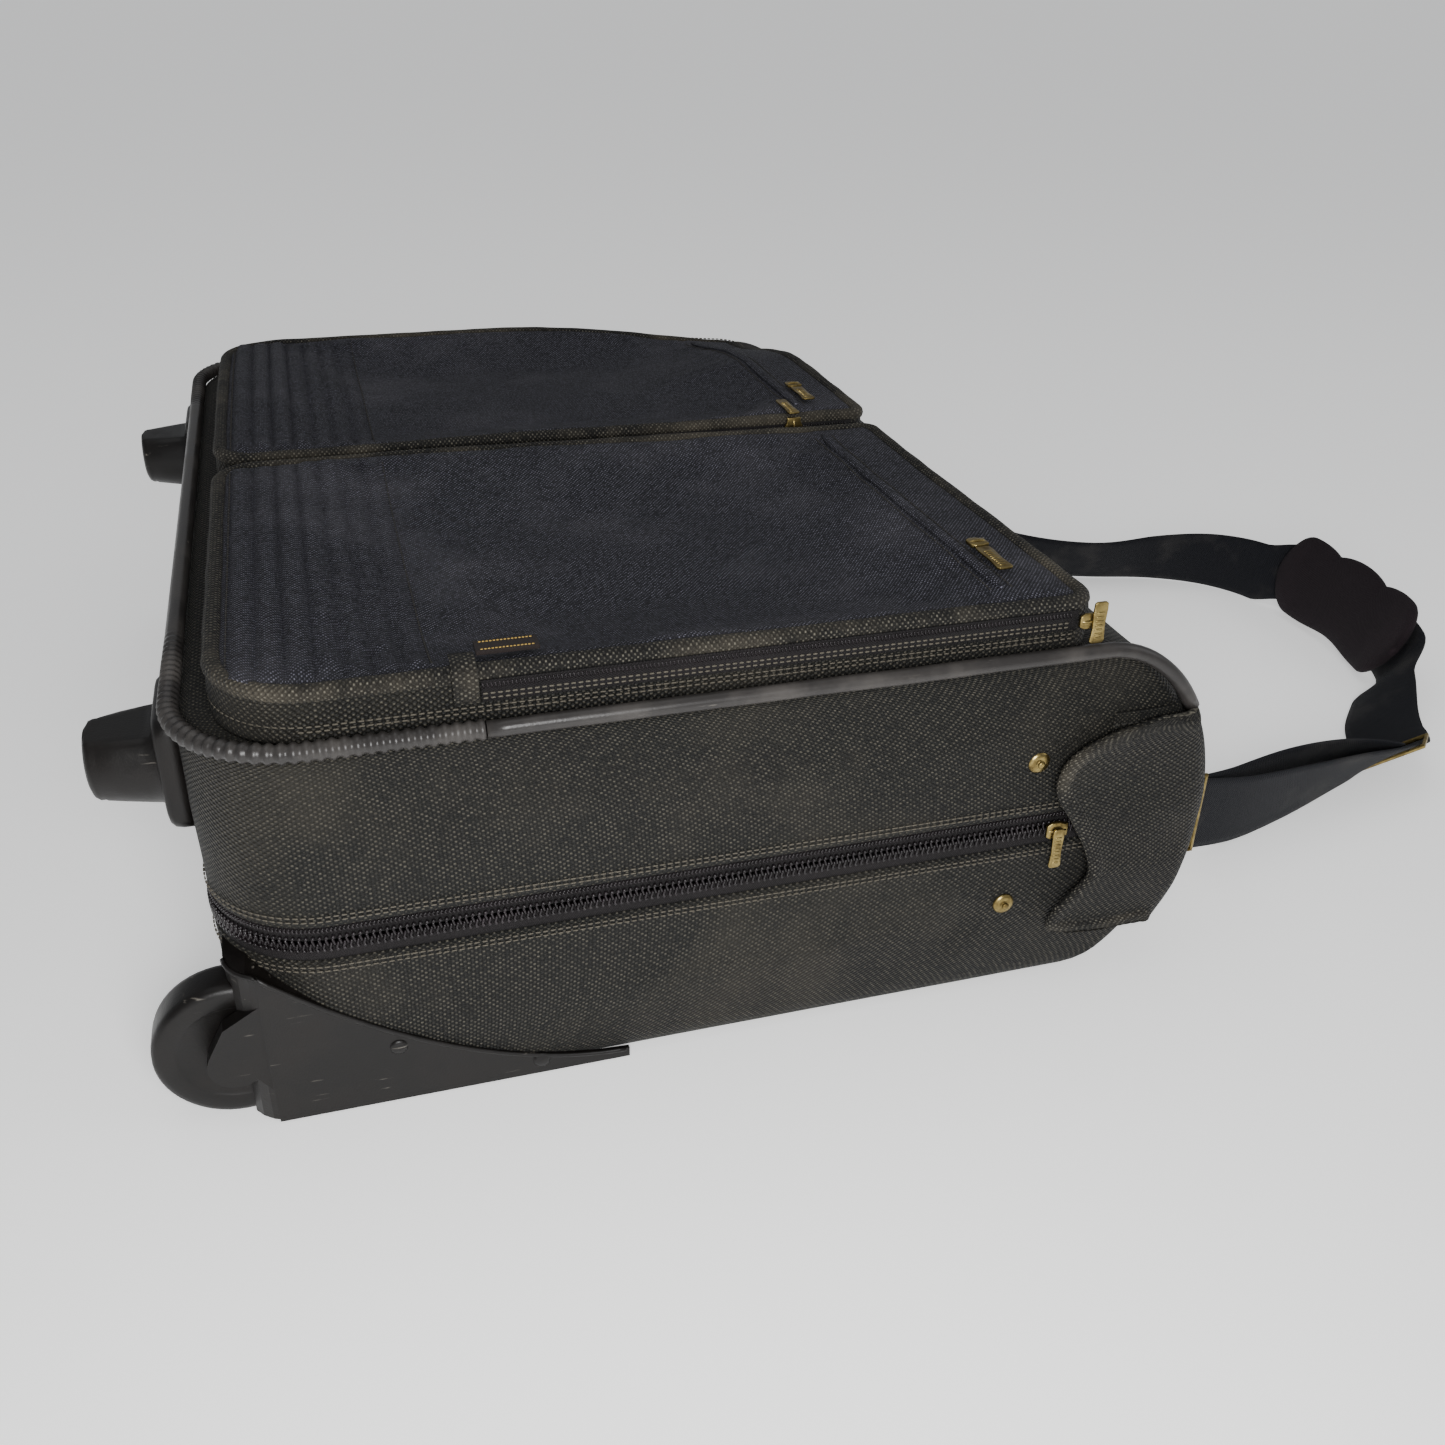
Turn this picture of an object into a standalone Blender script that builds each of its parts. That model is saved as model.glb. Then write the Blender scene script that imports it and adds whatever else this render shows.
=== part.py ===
"""Wheeled garment case, folded shut and lying on its back, as separate working pieces.

Metres, +Z up. The case lies with its front face up: +X runs from the wheeled bottom end to the
fold end, -Y is its right side and +Y its left. The origin is the middle of the back face, on the floor.
Inside the script X is counted from the bottom end, and one empty shifts every piece to that origin.
"""

import math

import bmesh
import bpy
from mathutils import Vector

# The closed case
CASE_LENGTH = 0.50
CASE_WIDTH = 0.62
BACK_DEPTH = 0.10  # floor to the zip
FRONT_DEPTH = 0.10  # zip to the front face
FOLD_DEPTH = 0.07  # how far the rounded fold end draws back at the two faces
BOTTOM_CORNER = 0.055
FOLD_CORNER = 0.012
BACK_EDGE = 0.012
FRONT_EDGE = 0.006
WALL = 0.004
GAP = 0.0003

# The main zip between the two halves
ZIP_TAPE = 0.010
ZIP_TAPE_THICK = 0.0016
ZIP_COIL_HIGH = 0.0035
ZIP_COIL_PROUD = 0.0012
ZIP_END = CASE_LENGTH - 0.063
ZIP_SLIDER = (0.012, 0.003, 0.010)
ZIP_SLIDER_AT = ZIP_END - 0.019
ZIP_PULL = (0.007, 0.0016, 0.024)
PULL_PIN = 0.0005
PULL_OVER_PIPING = 0.0058

# The cover of the fold and the flap at each side of it
COVER_THICK = 0.002
COVER_CLEAR = 0.0005
COVER_START = ZIP_END + 0.005
COVER_BACK_LOW = BACK_DEPTH - 0.065
COVER_FRONT_HIGH = BACK_DEPTH + 0.065
FLAP_THICK = 0.002
FLAP_CLEAR = 0.0075
FLAP_HINGE_AT = CASE_LENGTH - 0.014
STUD_BASE = 0.006
STUD_HIGH = 0.0038
UPPER_STUD = (CASE_LENGTH - 0.097, BACK_DEPTH + 0.042)
LOWER_STUD = (CASE_LENGTH - 0.106, BACK_DEPTH - 0.044)

# Piping and the wrapped guard on the front face's edge
PIPING = 0.004
GUARD = 0.0046
GUARD_END = 0.13

# Pockets on the front face: the start and end of each across the case
POCKET_START = 0.016
POCKET_END = CASE_LENGTH - 0.072
POCKET_HIGH = 0.029
POCKET_WALL = 0.0025
POCKET_EDGE = 0.008
POCKET_MARGIN = 0.006
POCKET_PARTING = (-0.009, 0.001)
POCKET_ZIP_START = 0.13
POCKET_ZIP_END = POCKET_END - 0.016
POCKET_ZIP = (0.0018, 0.008)
POCKET_SLIDER = (0.012, 0.003, 0.008)
POCKET_PULL = (0.008, 0.0015, 0.022)
SEAM_AT = POCKET_END - 0.043
SEAM = (0.006, 0.0025)
SEAM_SLIDER = (0.010, 0.010, 0.003)
SEAM_PULL = (0.009, 0.028, 0.0015)
SEAM_STARTS = {"right": 0.079 - CASE_WIDTH / 2, "left": 0.060}
LABEL = (0.028, 0.011, 0.0008)

# Wheels, their housings and the feet
WHEEL_RADIUS = 0.038
WHEEL_WIDE = 0.022
WHEEL_AT = 0.003
WHEEL_INSET = 0.0095  # from the side of the case to the wheel's outer face
AXLE_RADIUS = 0.003
HUB_CLEAR = 0.0004
WELL_CLEAR = 0.003
HOUSING_PROUD = 0.0025
HOUSING_LONG = 0.19
HOUSING_FULL = 0.018
NOTCH_START = -0.03
HOUSING_HIGH = BACK_DEPTH - ZIP_TAPE - 0.001
HOUSING_DEEP = 0.0545
NOTCH_LONG = WHEEL_AT + WHEEL_RADIUS + WELL_CLEAR + 0.010
HOUSING_CORNER = 0.022
FOOT_INSET = 0.088
FOOT_HEIGHT = BACK_DEPTH + 0.061
FOOT_TIP = 0.0185
FOOT_BASE = 0.024
FOOT_REACH = 0.045
COLLAR = (0.012, 0.058, 0.058)

# The pull-out handle
TUBE_RADIUS = 0.0065
TUBE_WALL = 0.001
SLEEVE_WALL = 0.0012
TUBE_CLEAR = 0.0004
TUBE_SPREAD = 0.055
HANDLE_TRAVEL = 0.28
SLEEVE_START = 0.045
BEZEL = (0.0275, 0.170, 0.023)
BEZEL_START = CASE_LENGTH - 0.060
TUBE_START = BEZEL_START - HANDLE_TRAVEL - 0.085
GRIP = (0.022, 0.150, 0.022)
BUTTON = (0.006, 0.030, 0.010)
BUTTON_TRAVEL = 0.003
BOARD_THICK = 0.0025
BOARD = (0.065, CASE_LENGTH - 0.095, CASE_WIDTH / 2 - 0.07)

# The shoulder strap, lying beyond the fold end
WEBBING = 0.050
WEBBING_THICK = 0.0024
PAD_WIDE = 0.068
PAD_THICK = 0.012
RING_WIRE = 0.0016
RING_HEIGHT = BACK_DEPTH - 0.040
RING_SPREAD = 0.24
TAB_WIDE = 0.028
TAB_HIGH = 0.013
TAB_LONG = 0.0135
TAB_BAR = 0.0095

TOP = BACK_DEPTH + FRONT_DEPTH
HALF = CASE_WIDTH / 2
FOLD_HINGE = CASE_LENGTH + COVER_CLEAR + COVER_THICK + 0.0005
SIDES = (("right", -1), ("left", 1))

for old in list(bpy.data.objects):
    bpy.data.objects.remove(old)

parts = bpy.data.collections.new("garment_case")
cutters = bpy.data.collections.new("cutters")
bpy.context.scene.collection.children.link(parts)
bpy.context.scene.collection.children.link(cutters)
origin = bpy.data.objects.new("case_origin", None)
origin.location = (-CASE_LENGTH / 2, 0, 0)
parts.objects.link(origin)


def material(name, colour, roughness, metallic=0.0):
    made = bpy.data.materials.new(name)
    made.use_nodes = True
    shader = made.node_tree.nodes["Principled BSDF"]
    shader.inputs["Base Color"].default_value = (*colour, 1)
    shader.inputs["Roughness"].default_value = roughness
    shader.inputs["Metallic"].default_value = metallic
    made.diffuse_color = (*colour, 1)
    return made


NYLON = material("ballistic_nylon", (0.018, 0.020, 0.016), 0.75)
PANEL = material("navy_panel_cloth", (0.014, 0.015, 0.022), 0.85)
VINYL = material("vinyl_piping", (0.022, 0.021, 0.020), 0.5)
PLASTIC = material("black_moulded_plastic", (0.016, 0.013, 0.012), 0.45)
COIL = material("zip_coil", (0.012, 0.009, 0.012), 0.35)
BRASS = material("worn_brass", (0.50, 0.36, 0.14), 0.35, 1.0)
STEEL = material("plated_steel", (0.45, 0.45, 0.46), 0.3, 1.0)
WEB = material("strap_webbing", (0.010, 0.011, 0.018), 0.8)
PADDING = material("strap_pad_cloth", (0.022, 0.014, 0.017), 0.8)
BOARDING = material("grey_board", (0.10, 0.10, 0.10), 0.8)
LABELLING = material("woven_label", (0.03, 0.028, 0.025), 0.7)


def place(obj, finish, mover=None):
    """Puts a finished piece in the case's collection, under its joint's empty or the case's own."""
    for holder in list(obj.users_collection):
        holder.objects.unlink(obj)
    parts.objects.link(obj)
    obj.data.materials.clear()
    obj.data.materials.append(finish)
    if mover:
        obj.location = Vector(obj.location) - mover.location
    obj.parent = mover or origin
    return obj


def joint_empty(name, at):
    """An empty on a joint's axis, which its moving pieces hang on."""
    empty = bpy.data.objects.new(name, None)
    empty.location = at
    empty.parent = origin
    parts.objects.link(empty)
    return empty


def mesh_object(name, points, faces, edges=()):
    mesh = bpy.data.meshes.new(name)
    mesh.from_pydata([tuple(p) for p in points], list(edges), faces)
    obj = bpy.data.objects.new(name, mesh)
    bpy.context.scene.collection.objects.link(obj)
    return obj


def soften(obj, angle=40):
    obj.data.shade_smooth()
    obj.data.set_sharp_from_angle(angle=math.radians(angle))


def rounded(x0, x1, y0, y1, radii, steps=6):
    """A rectangle with rounded corners, anticlockwise from the corner at (x0, y0)."""
    corners = ((x0, y0, 1, 1, 180), (x1, y0, -1, 1, 270), (x1, y1, -1, -1, 0), (x0, y1, 1, -1, 90))
    line = []
    for (cx, cy, sx, sy, start), r in zip(corners, radii):
        for k in range(steps + 1):
            turn = math.radians(start + 90 * k / steps)
            line.append((cx + sx * r + r * math.cos(turn), cy + sy * r + r * math.sin(turn)))
    return line


def circle(x, y, radius, steps=20):
    turns = [2 * math.pi * k / steps for k in range(steps)]
    return [(x + radius * math.cos(t), y + radius * math.sin(t)) for t in turns]


def curve_object(name, lines, flat, closed=True):
    curve = bpy.data.curves.new(name, "CURVE")
    curve.dimensions = "2D" if flat else "3D"
    for line in lines:
        spline = curve.splines.new("POLY")
        spline.points.add(len(line) - 1)
        for point, place_at in zip(spline.points, line):
            point.co = (*place_at, 0, 1) if flat else (*place_at, 1)
        spline.use_cyclic_u = closed
    obj = bpy.data.objects.new(name, curve)
    bpy.context.scene.collection.objects.link(obj)
    return obj


def as_mesh(obj):
    """Turns a curve into a welded mesh, so that a Boolean can use it."""
    bpy.context.view_layer.update()
    evaluated = obj.evaluated_get(bpy.context.evaluated_depsgraph_get())
    mesh = bpy.data.meshes.new_from_object(evaluated)
    shape = bmesh.new()
    shape.from_mesh(mesh)
    bmesh.ops.remove_doubles(shape, verts=shape.verts, dist=0.00001)
    shape.to_mesh(mesh)
    shape.free()
    made = bpy.data.objects.new(obj.name, mesh)
    made.matrix_world = obj.matrix_world.copy()
    bpy.context.scene.collection.objects.link(made)
    name = obj.name
    bpy.data.objects.remove(obj)
    made.name = name
    return made


def prism(name, lines, low, high, axis="Z"):
    """A flat outline with any holes in it, given thickness from low to high along an axis.

    Along Z the outline is in X and Y, along Y it is in X and Z, and along X it is in Y and Z."""
    obj = curve_object(name, lines, flat=True)
    obj.data.fill_mode = "BOTH"
    obj.data.extrude = (high - low) / 2
    middle = (low + high) / 2
    if axis == "Z":
        obj.location = (0, 0, middle)
    elif axis == "Y":
        obj.rotation_euler = (math.pi / 2, 0, 0)
        obj.location = (0, middle, 0)
    else:
        obj.rotation_euler = (math.pi / 2, 0, math.pi / 2)
        obj.location = (middle, 0, 0)
    return as_mesh(obj)


def block(name, x, y, z, radius=0.0):
    """A box from three (low, high) pairs, with its edges rounded."""
    bpy.ops.mesh.primitive_cube_add(size=1)
    obj = bpy.context.object
    obj.name = name
    size = [high - low for low, high in (x, y, z)]
    middle = [(high + low) / 2 for low, high in (x, y, z)]
    for vertex in obj.data.vertices:
        vertex.co = [c * s for c, s in zip(vertex.co, size)]
    obj.location = middle
    if radius:
        bevel = obj.modifiers.new("rounded_edges", "BEVEL")
        bevel.width = min(radius, 0.45 * min(size))
        bevel.segments = 2
        bevel.limit_method = "NONE"
        soften(obj)
    return obj


def tube(name, line, radius, closed=False, sides=2):
    obj = curve_object(name, [line], flat=False, closed=closed)
    obj.data.bevel_depth = radius
    obj.data.bevel_resolution = sides
    obj.data.use_fill_caps = not closed
    return obj


def turned(name, profile, at, axis, steps=20):
    """A turned piece: (radius, height) pairs from the tip to the base, spun round an axis through a point."""
    points = [(r, 0, h) for r, h in profile]
    obj = mesh_object(name, points, [], [(k, k + 1) for k in range(len(points) - 1)])
    screw = obj.modifiers.new("turned", "SCREW")
    screw.steps = steps
    screw.render_steps = steps
    screw.use_merge_vertices = True
    screw.merge_threshold = 0.00001
    obj.location = at
    obj.rotation_euler = Vector((0, 0, 1)).rotation_difference(Vector(axis)).to_euler()
    return obj


def loft(name, rings, caps=("first", "last")):
    """A skin through rings of equal count, anticlockwise and in rising order, with its end caps."""
    count = len(rings[0])
    points = [p for ring in rings for p in ring]
    faces = []
    for r in range(len(rings) - 1):
        for k in range(count):
            a, b = r * count + k, r * count + (k + 1) % count
            faces.append((a, b, b + count, a + count))
    if "first" in caps:
        faces.append(tuple(range(count - 1, -1, -1)))
    if "last" in caps:
        faces.append(tuple(range((len(rings) - 1) * count, len(rings) * count)))
    return mesh_object(name, points, faces)


def cut(obj, cutter):
    """Takes the cutter's shape out of a piece."""
    for holder in list(cutter.users_collection):
        holder.objects.unlink(cutter)
    cutters.objects.link(cutter)
    cutter.parent = origin
    cutter.hide_render = True
    cutter.display_type = "WIRE"
    boolean = obj.modifiers.new("cut", "BOOLEAN")
    boolean.object = cutter
    boolean.operation = "DIFFERENCE"
    boolean.solver = "EXACT"


def common(obj, other):
    """The shape that two solids share."""
    boolean = obj.modifiers.new("common", "BOOLEAN")
    boolean.object = other
    boolean.operation = "INTERSECT"
    boolean.solver = "EXACT"
    shared = as_mesh(obj)
    bpy.data.objects.remove(other)
    return shared


def weld_on(obj, other):
    """Joins a second solid to a piece, so that the two are one body."""
    cut(obj, other)
    obj.modifiers[-1].operation = "UNION"


# ---------------------------------------------------------------- the case's shape


def fold_end(z):
    """Where the rounded fold end is at a height."""
    depth = FRONT_DEPTH if z > BACK_DEPTH else BACK_DEPTH
    share = min(1.0, abs(z - BACK_DEPTH) / depth)
    return CASE_LENGTH - FOLD_DEPTH * (1 - math.sqrt(1 - share * share))


def edge_inset(z):
    """How far the walls draw in where they round into a face."""
    radius = FRONT_EDGE if z > BACK_DEPTH else BACK_EDGE
    reach = (TOP - z) if z > BACK_DEPTH else z
    share = max(0.0, 1 - reach / radius)
    return radius * (1 - math.sqrt(1 - share * share))


def case_outline(z, steps=6):
    inset = edge_inset(z)
    corner = BOTTOM_CORNER - inset
    radii = (corner, FOLD_CORNER, FOLD_CORNER, corner)
    return rounded(inset, fold_end(z), -HALF + inset, HALF - inset, radii, steps)


def tray(name, rim, face, edge, outline, wall, levels=7):
    """A soft-sided tray: walls from its rim to its face, closed by the face, with an even wall."""
    turn_at = face - edge if face > rim else face + edge
    heights = [rim + (turn_at - rim) * k / (levels - 4) for k in range(levels - 3)]
    for k in range(1, 4):
        heights.append(turn_at + (face - turn_at) * math.sin(math.radians(30 * k)))
    heights.sort()
    rings = [[(x, y, z) for x, y in outline(z)] for z in heights]
    obj = loft(name, rings, ["last" if face > rim else "first"])
    solid = obj.modifiers.new("wall", "SOLIDIFY")
    solid.thickness = wall
    solid.offset = -1
    solid.use_even_offset = True
    soften(obj, 50)
    return obj


def side_path(start):
    """The case's outline at the zip, from its right side round the bottom end to its left side."""
    line = rounded(0, CASE_LENGTH, -HALF, HALF, (BOTTOM_CORNER,) * 4, 10)
    right, left = line[:11], line[33:]
    return [(start, -HALF)] + right[::-1] + left[::-1] + [(start, HALF)]


def band(name, path, section):
    """A strip with a constant cross-section of (outward, height) pairs, along a path in X and Y."""
    rings = []
    for k, (x, y) in enumerate(path):
        before, after = path[max(k - 1, 0)], path[min(k + 1, len(path) - 1)]
        along = Vector((after[0] - before[0], after[1] - before[1])).normalized()
        out = Vector((-along.y, along.x))
        rings.append([(x + out.x * o, y + out.y * o, h) for o, h in section])
    return loft(name, rings)


# ---------------------------------------------------------------- the two halves


def back_half():
    shell = tray("back_shell", BACK_DEPTH - ZIP_TAPE, 0.0, BACK_EDGE, case_outline, WALL)
    for side, sign in SIDES:
        y = sorted((sign * (HALF + 0.02), sign * (HALF - HOUSING_DEEP)))
        notch = block(f"{side}_corner_cut", (-0.02, NOTCH_LONG), y, (-0.02, HOUSING_HIGH))
        outline = housing_outline(NOTCH_START, -2 * GAP, NOTCH_START)
        keep = prism(f"{side}_notch_top", [outline], y[0] - 0.01, y[1] + 0.01, "Y")
        cut(shell, common(notch, keep))
    half_bezel = BEZEL[1] / 2 + GAP
    top = bezel_low() + BEZEL[2] + GAP
    x = (BEZEL_START - GAP, CASE_LENGTH + 0.02)
    cut(shell, block("bezel_cut", x, (-half_bezel, half_bezel), (-0.02, top)))
    place(shell, NYLON)
    x0, x1, half = BOARD
    outline = rounded(x0, x1, -half, half, (0.02,) * 4, 3)
    low = WALL + GAP
    place(prism("back_board", [outline], low, low + BOARD_THICK), BOARDING)


def front_half(lid):
    rim = BACK_DEPTH + ZIP_TAPE
    place(tray("front_shell", rim, TOP, FRONT_EDGE, case_outline, WALL), NYLON, lid)


def zip_section(sign):
    """One side of the main zip: its tape and its coil, above (+1) or below (-1) the parting."""
    tape_out = -0.0008
    tape_in = tape_out - ZIP_TAPE_THICK
    coil_in = ZIP_COIL_PROUD - ZIP_COIL_HIGH
    heights = (GAP, ZIP_COIL_HIGH, ZIP_TAPE - GAP)
    near, mid, far = (BACK_DEPTH + sign * h for h in heights)
    return [
        (ZIP_COIL_PROUD, near), (ZIP_COIL_PROUD, mid), (tape_out, mid), (tape_out, far),
        (tape_in, far), (tape_in, mid), (coil_in, mid), (coil_in, near),
    ]


def outward(obj):
    """Turns a closed piece's faces outwards."""
    shape = bmesh.new()
    shape.from_mesh(obj.data)
    bmesh.ops.recalc_face_normals(shape, faces=shape.faces)
    shape.to_mesh(obj.data)
    shape.free()
    return obj


def main_zip(lid):
    path = side_path(ZIP_END)
    place(outward(band("front_zip", path, zip_section(1))), COIL, lid)
    place(outward(band("back_zip", path, zip_section(-1))), COIL)


def fold_cover(name, low, high, lid=None):
    """The cloth over one half's side of the fold, from side to side."""
    rings = []
    for k in range(7):
        z = low + (high - low) * k / 6
        out = COVER_CLEAR
        corners = (0.01, FOLD_CORNER + out, FOLD_CORNER + out, 0.01)
        line = rounded(0, fold_end(z) + out, -HALF - out, HALF + out, corners, 4)
        around = [(COVER_START, -HALF - out)] + line[5:15] + [(COVER_START, HALF + out)]
        rings.append([(x, y, z) for x, y in around])
    count = len(rings[0])
    points = [p for ring in rings for p in ring]
    faces = []
    for r in range(6):
        for k in range(count - 1):
            a = r * count + k
            faces.append((a, a + 1, a + 1 + count, a + count))
    obj = mesh_object(name, points, faces)
    solid = obj.modifiers.new("cloth", "SOLIDIFY")
    solid.thickness = COVER_THICK
    solid.offset = 1
    solid.use_even_offset = True
    soften(obj, 60)
    place(obj, NYLON, lid)


def side_flaps():
    """The lobed flap at each side of the fold, which snaps onto the two studs."""
    control = [
        (-0.016, 0.060), (-0.038, 0.064), (-0.070, 0.055), (-0.086, 0.044), (-0.089, 0.027),
        (-0.078, 0.008), (-0.067, -0.012), (-0.063, -0.028), (-0.073, -0.040), (-0.083, -0.053),
        (-0.078, -0.062), (-0.050, -0.066), (-0.026, -0.065), (-0.018, -0.054), (-0.014, -0.025),
        (-0.012, 0.0), (-0.013, 0.035),
    ]
    outline = smooth([(CASE_LENGTH + x, BACK_DEPTH + z, 0) for x, z in control], 2, closed=True)
    for side, sign in SIDES:
        inner = HALF + FLAP_CLEAR
        hinge = joint_empty(f"{side}_flap_axis", (FLAP_HINGE_AT, sign * (inner + FLAP_THICK / 2), BACK_DEPTH))
        low, high = sorted((sign * inner, sign * (inner + FLAP_THICK)))
        place(prism(f"{side}_side_flap", [[(x, z) for x, z, _ in outline]], low, high, "Y"), NYLON, hinge)


def smooth(points, between, closed=False):
    """A smooth curve through points, with that many steps between each two."""
    points = [Vector(p) for p in points]
    count = len(points)
    line = []
    for k in range(count if closed else count - 1):
        if closed:
            a, b, c, d = (points[(k + j) % count] for j in (-1, 0, 1, 2))
        else:
            a, b, c, d = (points[min(max(k + j, 0), count - 1)] for j in (-1, 0, 1, 2))
        for s in range(between):
            t = s / between
            square = 2 * a - 5 * b + 4 * c - d
            cube = 3 * b - a - 3 * c + d
            line.append(0.5 * (2 * b + (c - a) * t + square * t**2 + cube * t**3))
    if not closed:
        line.append(points[-1])
    return line


def studs(lid):
    profile = ((0.0, STUD_HIGH), (0.0016, STUD_HIGH - 0.0004), (0.0019, 0.0022), (0.0042, 0.0018),
               (STUD_BASE, 0.0006), (STUD_BASE, 0.0), (0.0, 0.0))
    for side, sign in SIDES:
        for name, (x, z), mover in (("upper", UPPER_STUD, lid), ("lower", LOWER_STUD, None)):
            at = (x, sign * (HALF + GAP), z)
            place(turned(f"{side}_{name}_stud", profile, at, (0, sign, 0), 14), BRASS, mover)


def piping(lid):
    """Piping along each side's front edge and down the fold, and the wrapped guard round the bottom end."""
    out = (FRONT_EDGE + PIPING + 2 * GAP) / math.sqrt(2) - FRONT_EDGE
    height = TOP + out
    for side, sign in SIDES:
        y = sign * (HALF + out)
        run = [(x, y, height) for x in (GUARD_END + GAP, 0.2, 0.3, 0.4)]
        for k in range(7):
            turn = math.radians(6 + k * 7.6)
            lift = FRONT_DEPTH * math.cos(turn)
            x = CASE_LENGTH - FOLD_DEPTH + (FOLD_DEPTH + out) * math.sin(turn)
            run.append((x, y, BACK_DEPTH + lift + out * math.cos(turn)))
        place(tube(f"{side}_piping", run, PIPING, sides=1), VINYL, lid)
    out = (FRONT_EDGE + GUARD + 2 * GAP) / math.sqrt(2) - FRONT_EDGE
    corner = BOTTOM_CORNER + out
    line = rounded(-out, CASE_LENGTH, -HALF - out, HALF + out, (corner,) * 4, 8)
    right, left = line[:9], line[27:]
    path = [(GUARD_END, -HALF - out), *right[::-1], *left[::-1], (GUARD_END, HALF + out)]
    place(tube("bottom_guard", [(x, y, TOP + out) for x, y in path], GUARD, sides=1), VINYL, lid)


# ---------------------------------------------------------------- pockets and their zips


def pocket_span(side):
    if side == "right":
        return -HALF + POCKET_MARGIN, POCKET_PARTING[0]
    return POCKET_PARTING[1], HALF - POCKET_MARGIN


def hanging_pull(name, middle, face, sign, top, size):
    """A pull that hangs flat outside a slider, on a pin across its top."""
    wide, thick, long = size
    y = sorted((face + sign * GAP, face + sign * (GAP + thick)))
    pivot = joint_empty(f"{name}_axis", (middle, sum(y) / 2, top - PULL_PIN))
    place(block(name, (middle - wide / 2, middle + wide / 2), y, (top - long, top), 0.0005), BRASS, pivot)


def lying_pull(name, x, y, z, pin_y):
    """A pull that lies flat on a pocket, on a pin across its end."""
    pivot = joint_empty(f"{name}_axis", (sum(x) / 2, pin_y, sum(z) / 2))
    place(block(name, x, y, z, 0.0005), BRASS, pivot)


def pockets(lid):
    base = TOP + GAP
    top = base + POCKET_HIGH
    for side, sign in SIDES:
        low, high = pocket_span(side)

        def outline(z):
            share = max(0.0, 1 - (top - z) / POCKET_EDGE)
            inset = POCKET_EDGE * (1 - math.sqrt(1 - share * share))
            outer, inner = 0.045 - inset, 0.024 - inset
            fold_outer, fold_inner = 0.016 - inset, 0.012 - inset
            radii = (outer, fold_outer, fold_inner, inner)
            if sign > 0:
                radii = (inner, fold_inner, fold_outer, outer)
            return rounded(POCKET_START + inset, POCKET_END - inset, low + inset, high - inset, radii, 4)

        place(tray(f"{side}_pocket", base, top, POCKET_EDGE, outline, POCKET_WALL, 6), PANEL, lid)
        pocket_zip(side, low, top, lid)
        seam_zip(side, low, high, top, lid)
    label_low = -HALF + POCKET_MARGIN + POCKET_EDGE + 0.002
    x = (POCKET_ZIP_START, POCKET_ZIP_START + LABEL[0])
    y = (label_low, label_low + LABEL[1])
    place(block("label_patch", x, y, (top + GAP, top + GAP + LABEL[2])), LABELLING, lid)


def pocket_zip(side, wall, top, lid):
    """The zip on the right-hand wall of a pocket, with its slider and pull."""
    high = top - POCKET_EDGE - GAP
    low = high - POCKET_ZIP[1]
    skin = wall - GAP - POCKET_ZIP[0]
    x = (POCKET_ZIP_START, POCKET_ZIP_END)
    place(block(f"{side}_pocket_zip", x, (skin, wall - GAP), (low, high)), COIL, lid)
    outer = skin - GAP
    inner_y = outer - POCKET_SLIDER[1]
    if side == "right":
        start = POCKET_ZIP_END + 0.0035
        end = start + POCKET_SLIDER[0]
        slider = joint_empty("right_pocket_slider_axis", (end, outer, low))
        body = block("right_pocket_slider", (start, end), (inner_y, outer), (low, high), 0.0006)
        place(body, BRASS, slider)
        pull_top = TOP + PULL_OVER_PIPING + POCKET_PULL[2]
        hanging_pull("right_pocket_pull", end - 0.003, inner_y, -1, pull_top, POCKET_PULL)
        return
    start = SEAM_AT - 0.016
    end = start + POCKET_SLIDER[0]
    slider = joint_empty("left_pocket_slider_axis", (end, outer, low))
    rise = top - 0.002
    place(block("left_pocket_slider", (start, end), (inner_y, outer), (low, rise), 0.0006), BRASS, slider)
    wide, thick, _ = POCKET_PULL
    z = (top + GAP, top + GAP + thick)
    x = (start + 0.002, start + 0.002 + wide)
    lying_pull("left_pocket_pull", x, (inner_y, inner_y + 0.030), z, inner_y + 0.0015)


def seam_zip(side, low, high, top, lid):
    """The covered zip across a pocket, as a corded seam with a slider beside it."""
    margin = 0.020
    base = top + GAP
    y = (low + margin, high - margin)
    x = (SEAM_AT - SEAM[0] / 2, SEAM_AT + SEAM[0] / 2)
    place(block(f"{side}_cross_seam", x, y, (base, base + SEAM[1]), 0.0009), PANEL, lid)
    x0 = SEAM_AT + SEAM[0] / 2 + 0.0012
    start = SEAM_STARTS[side]
    x = (x0, x0 + SEAM_SLIDER[0])
    slider = joint_empty(f"{side}_cross_slider_axis", (sum(x) / 2, start, base))
    y = (start - SEAM_SLIDER[1], start)
    body = block(f"{side}_cross_slider", x, y, (base, base + SEAM_SLIDER[2]), 0.0006)
    place(body, BRASS, slider)
    tip = start - SEAM_SLIDER[1] - 0.0006
    z = (base + 0.0006, base + 0.0006 + SEAM_PULL[2])
    px = (x0 + 0.0005, x0 + 0.0005 + SEAM_PULL[0])
    lying_pull(f"{side}_cross_pull", px, (tip - SEAM_PULL[1], tip), z, tip - 0.001)


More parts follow.
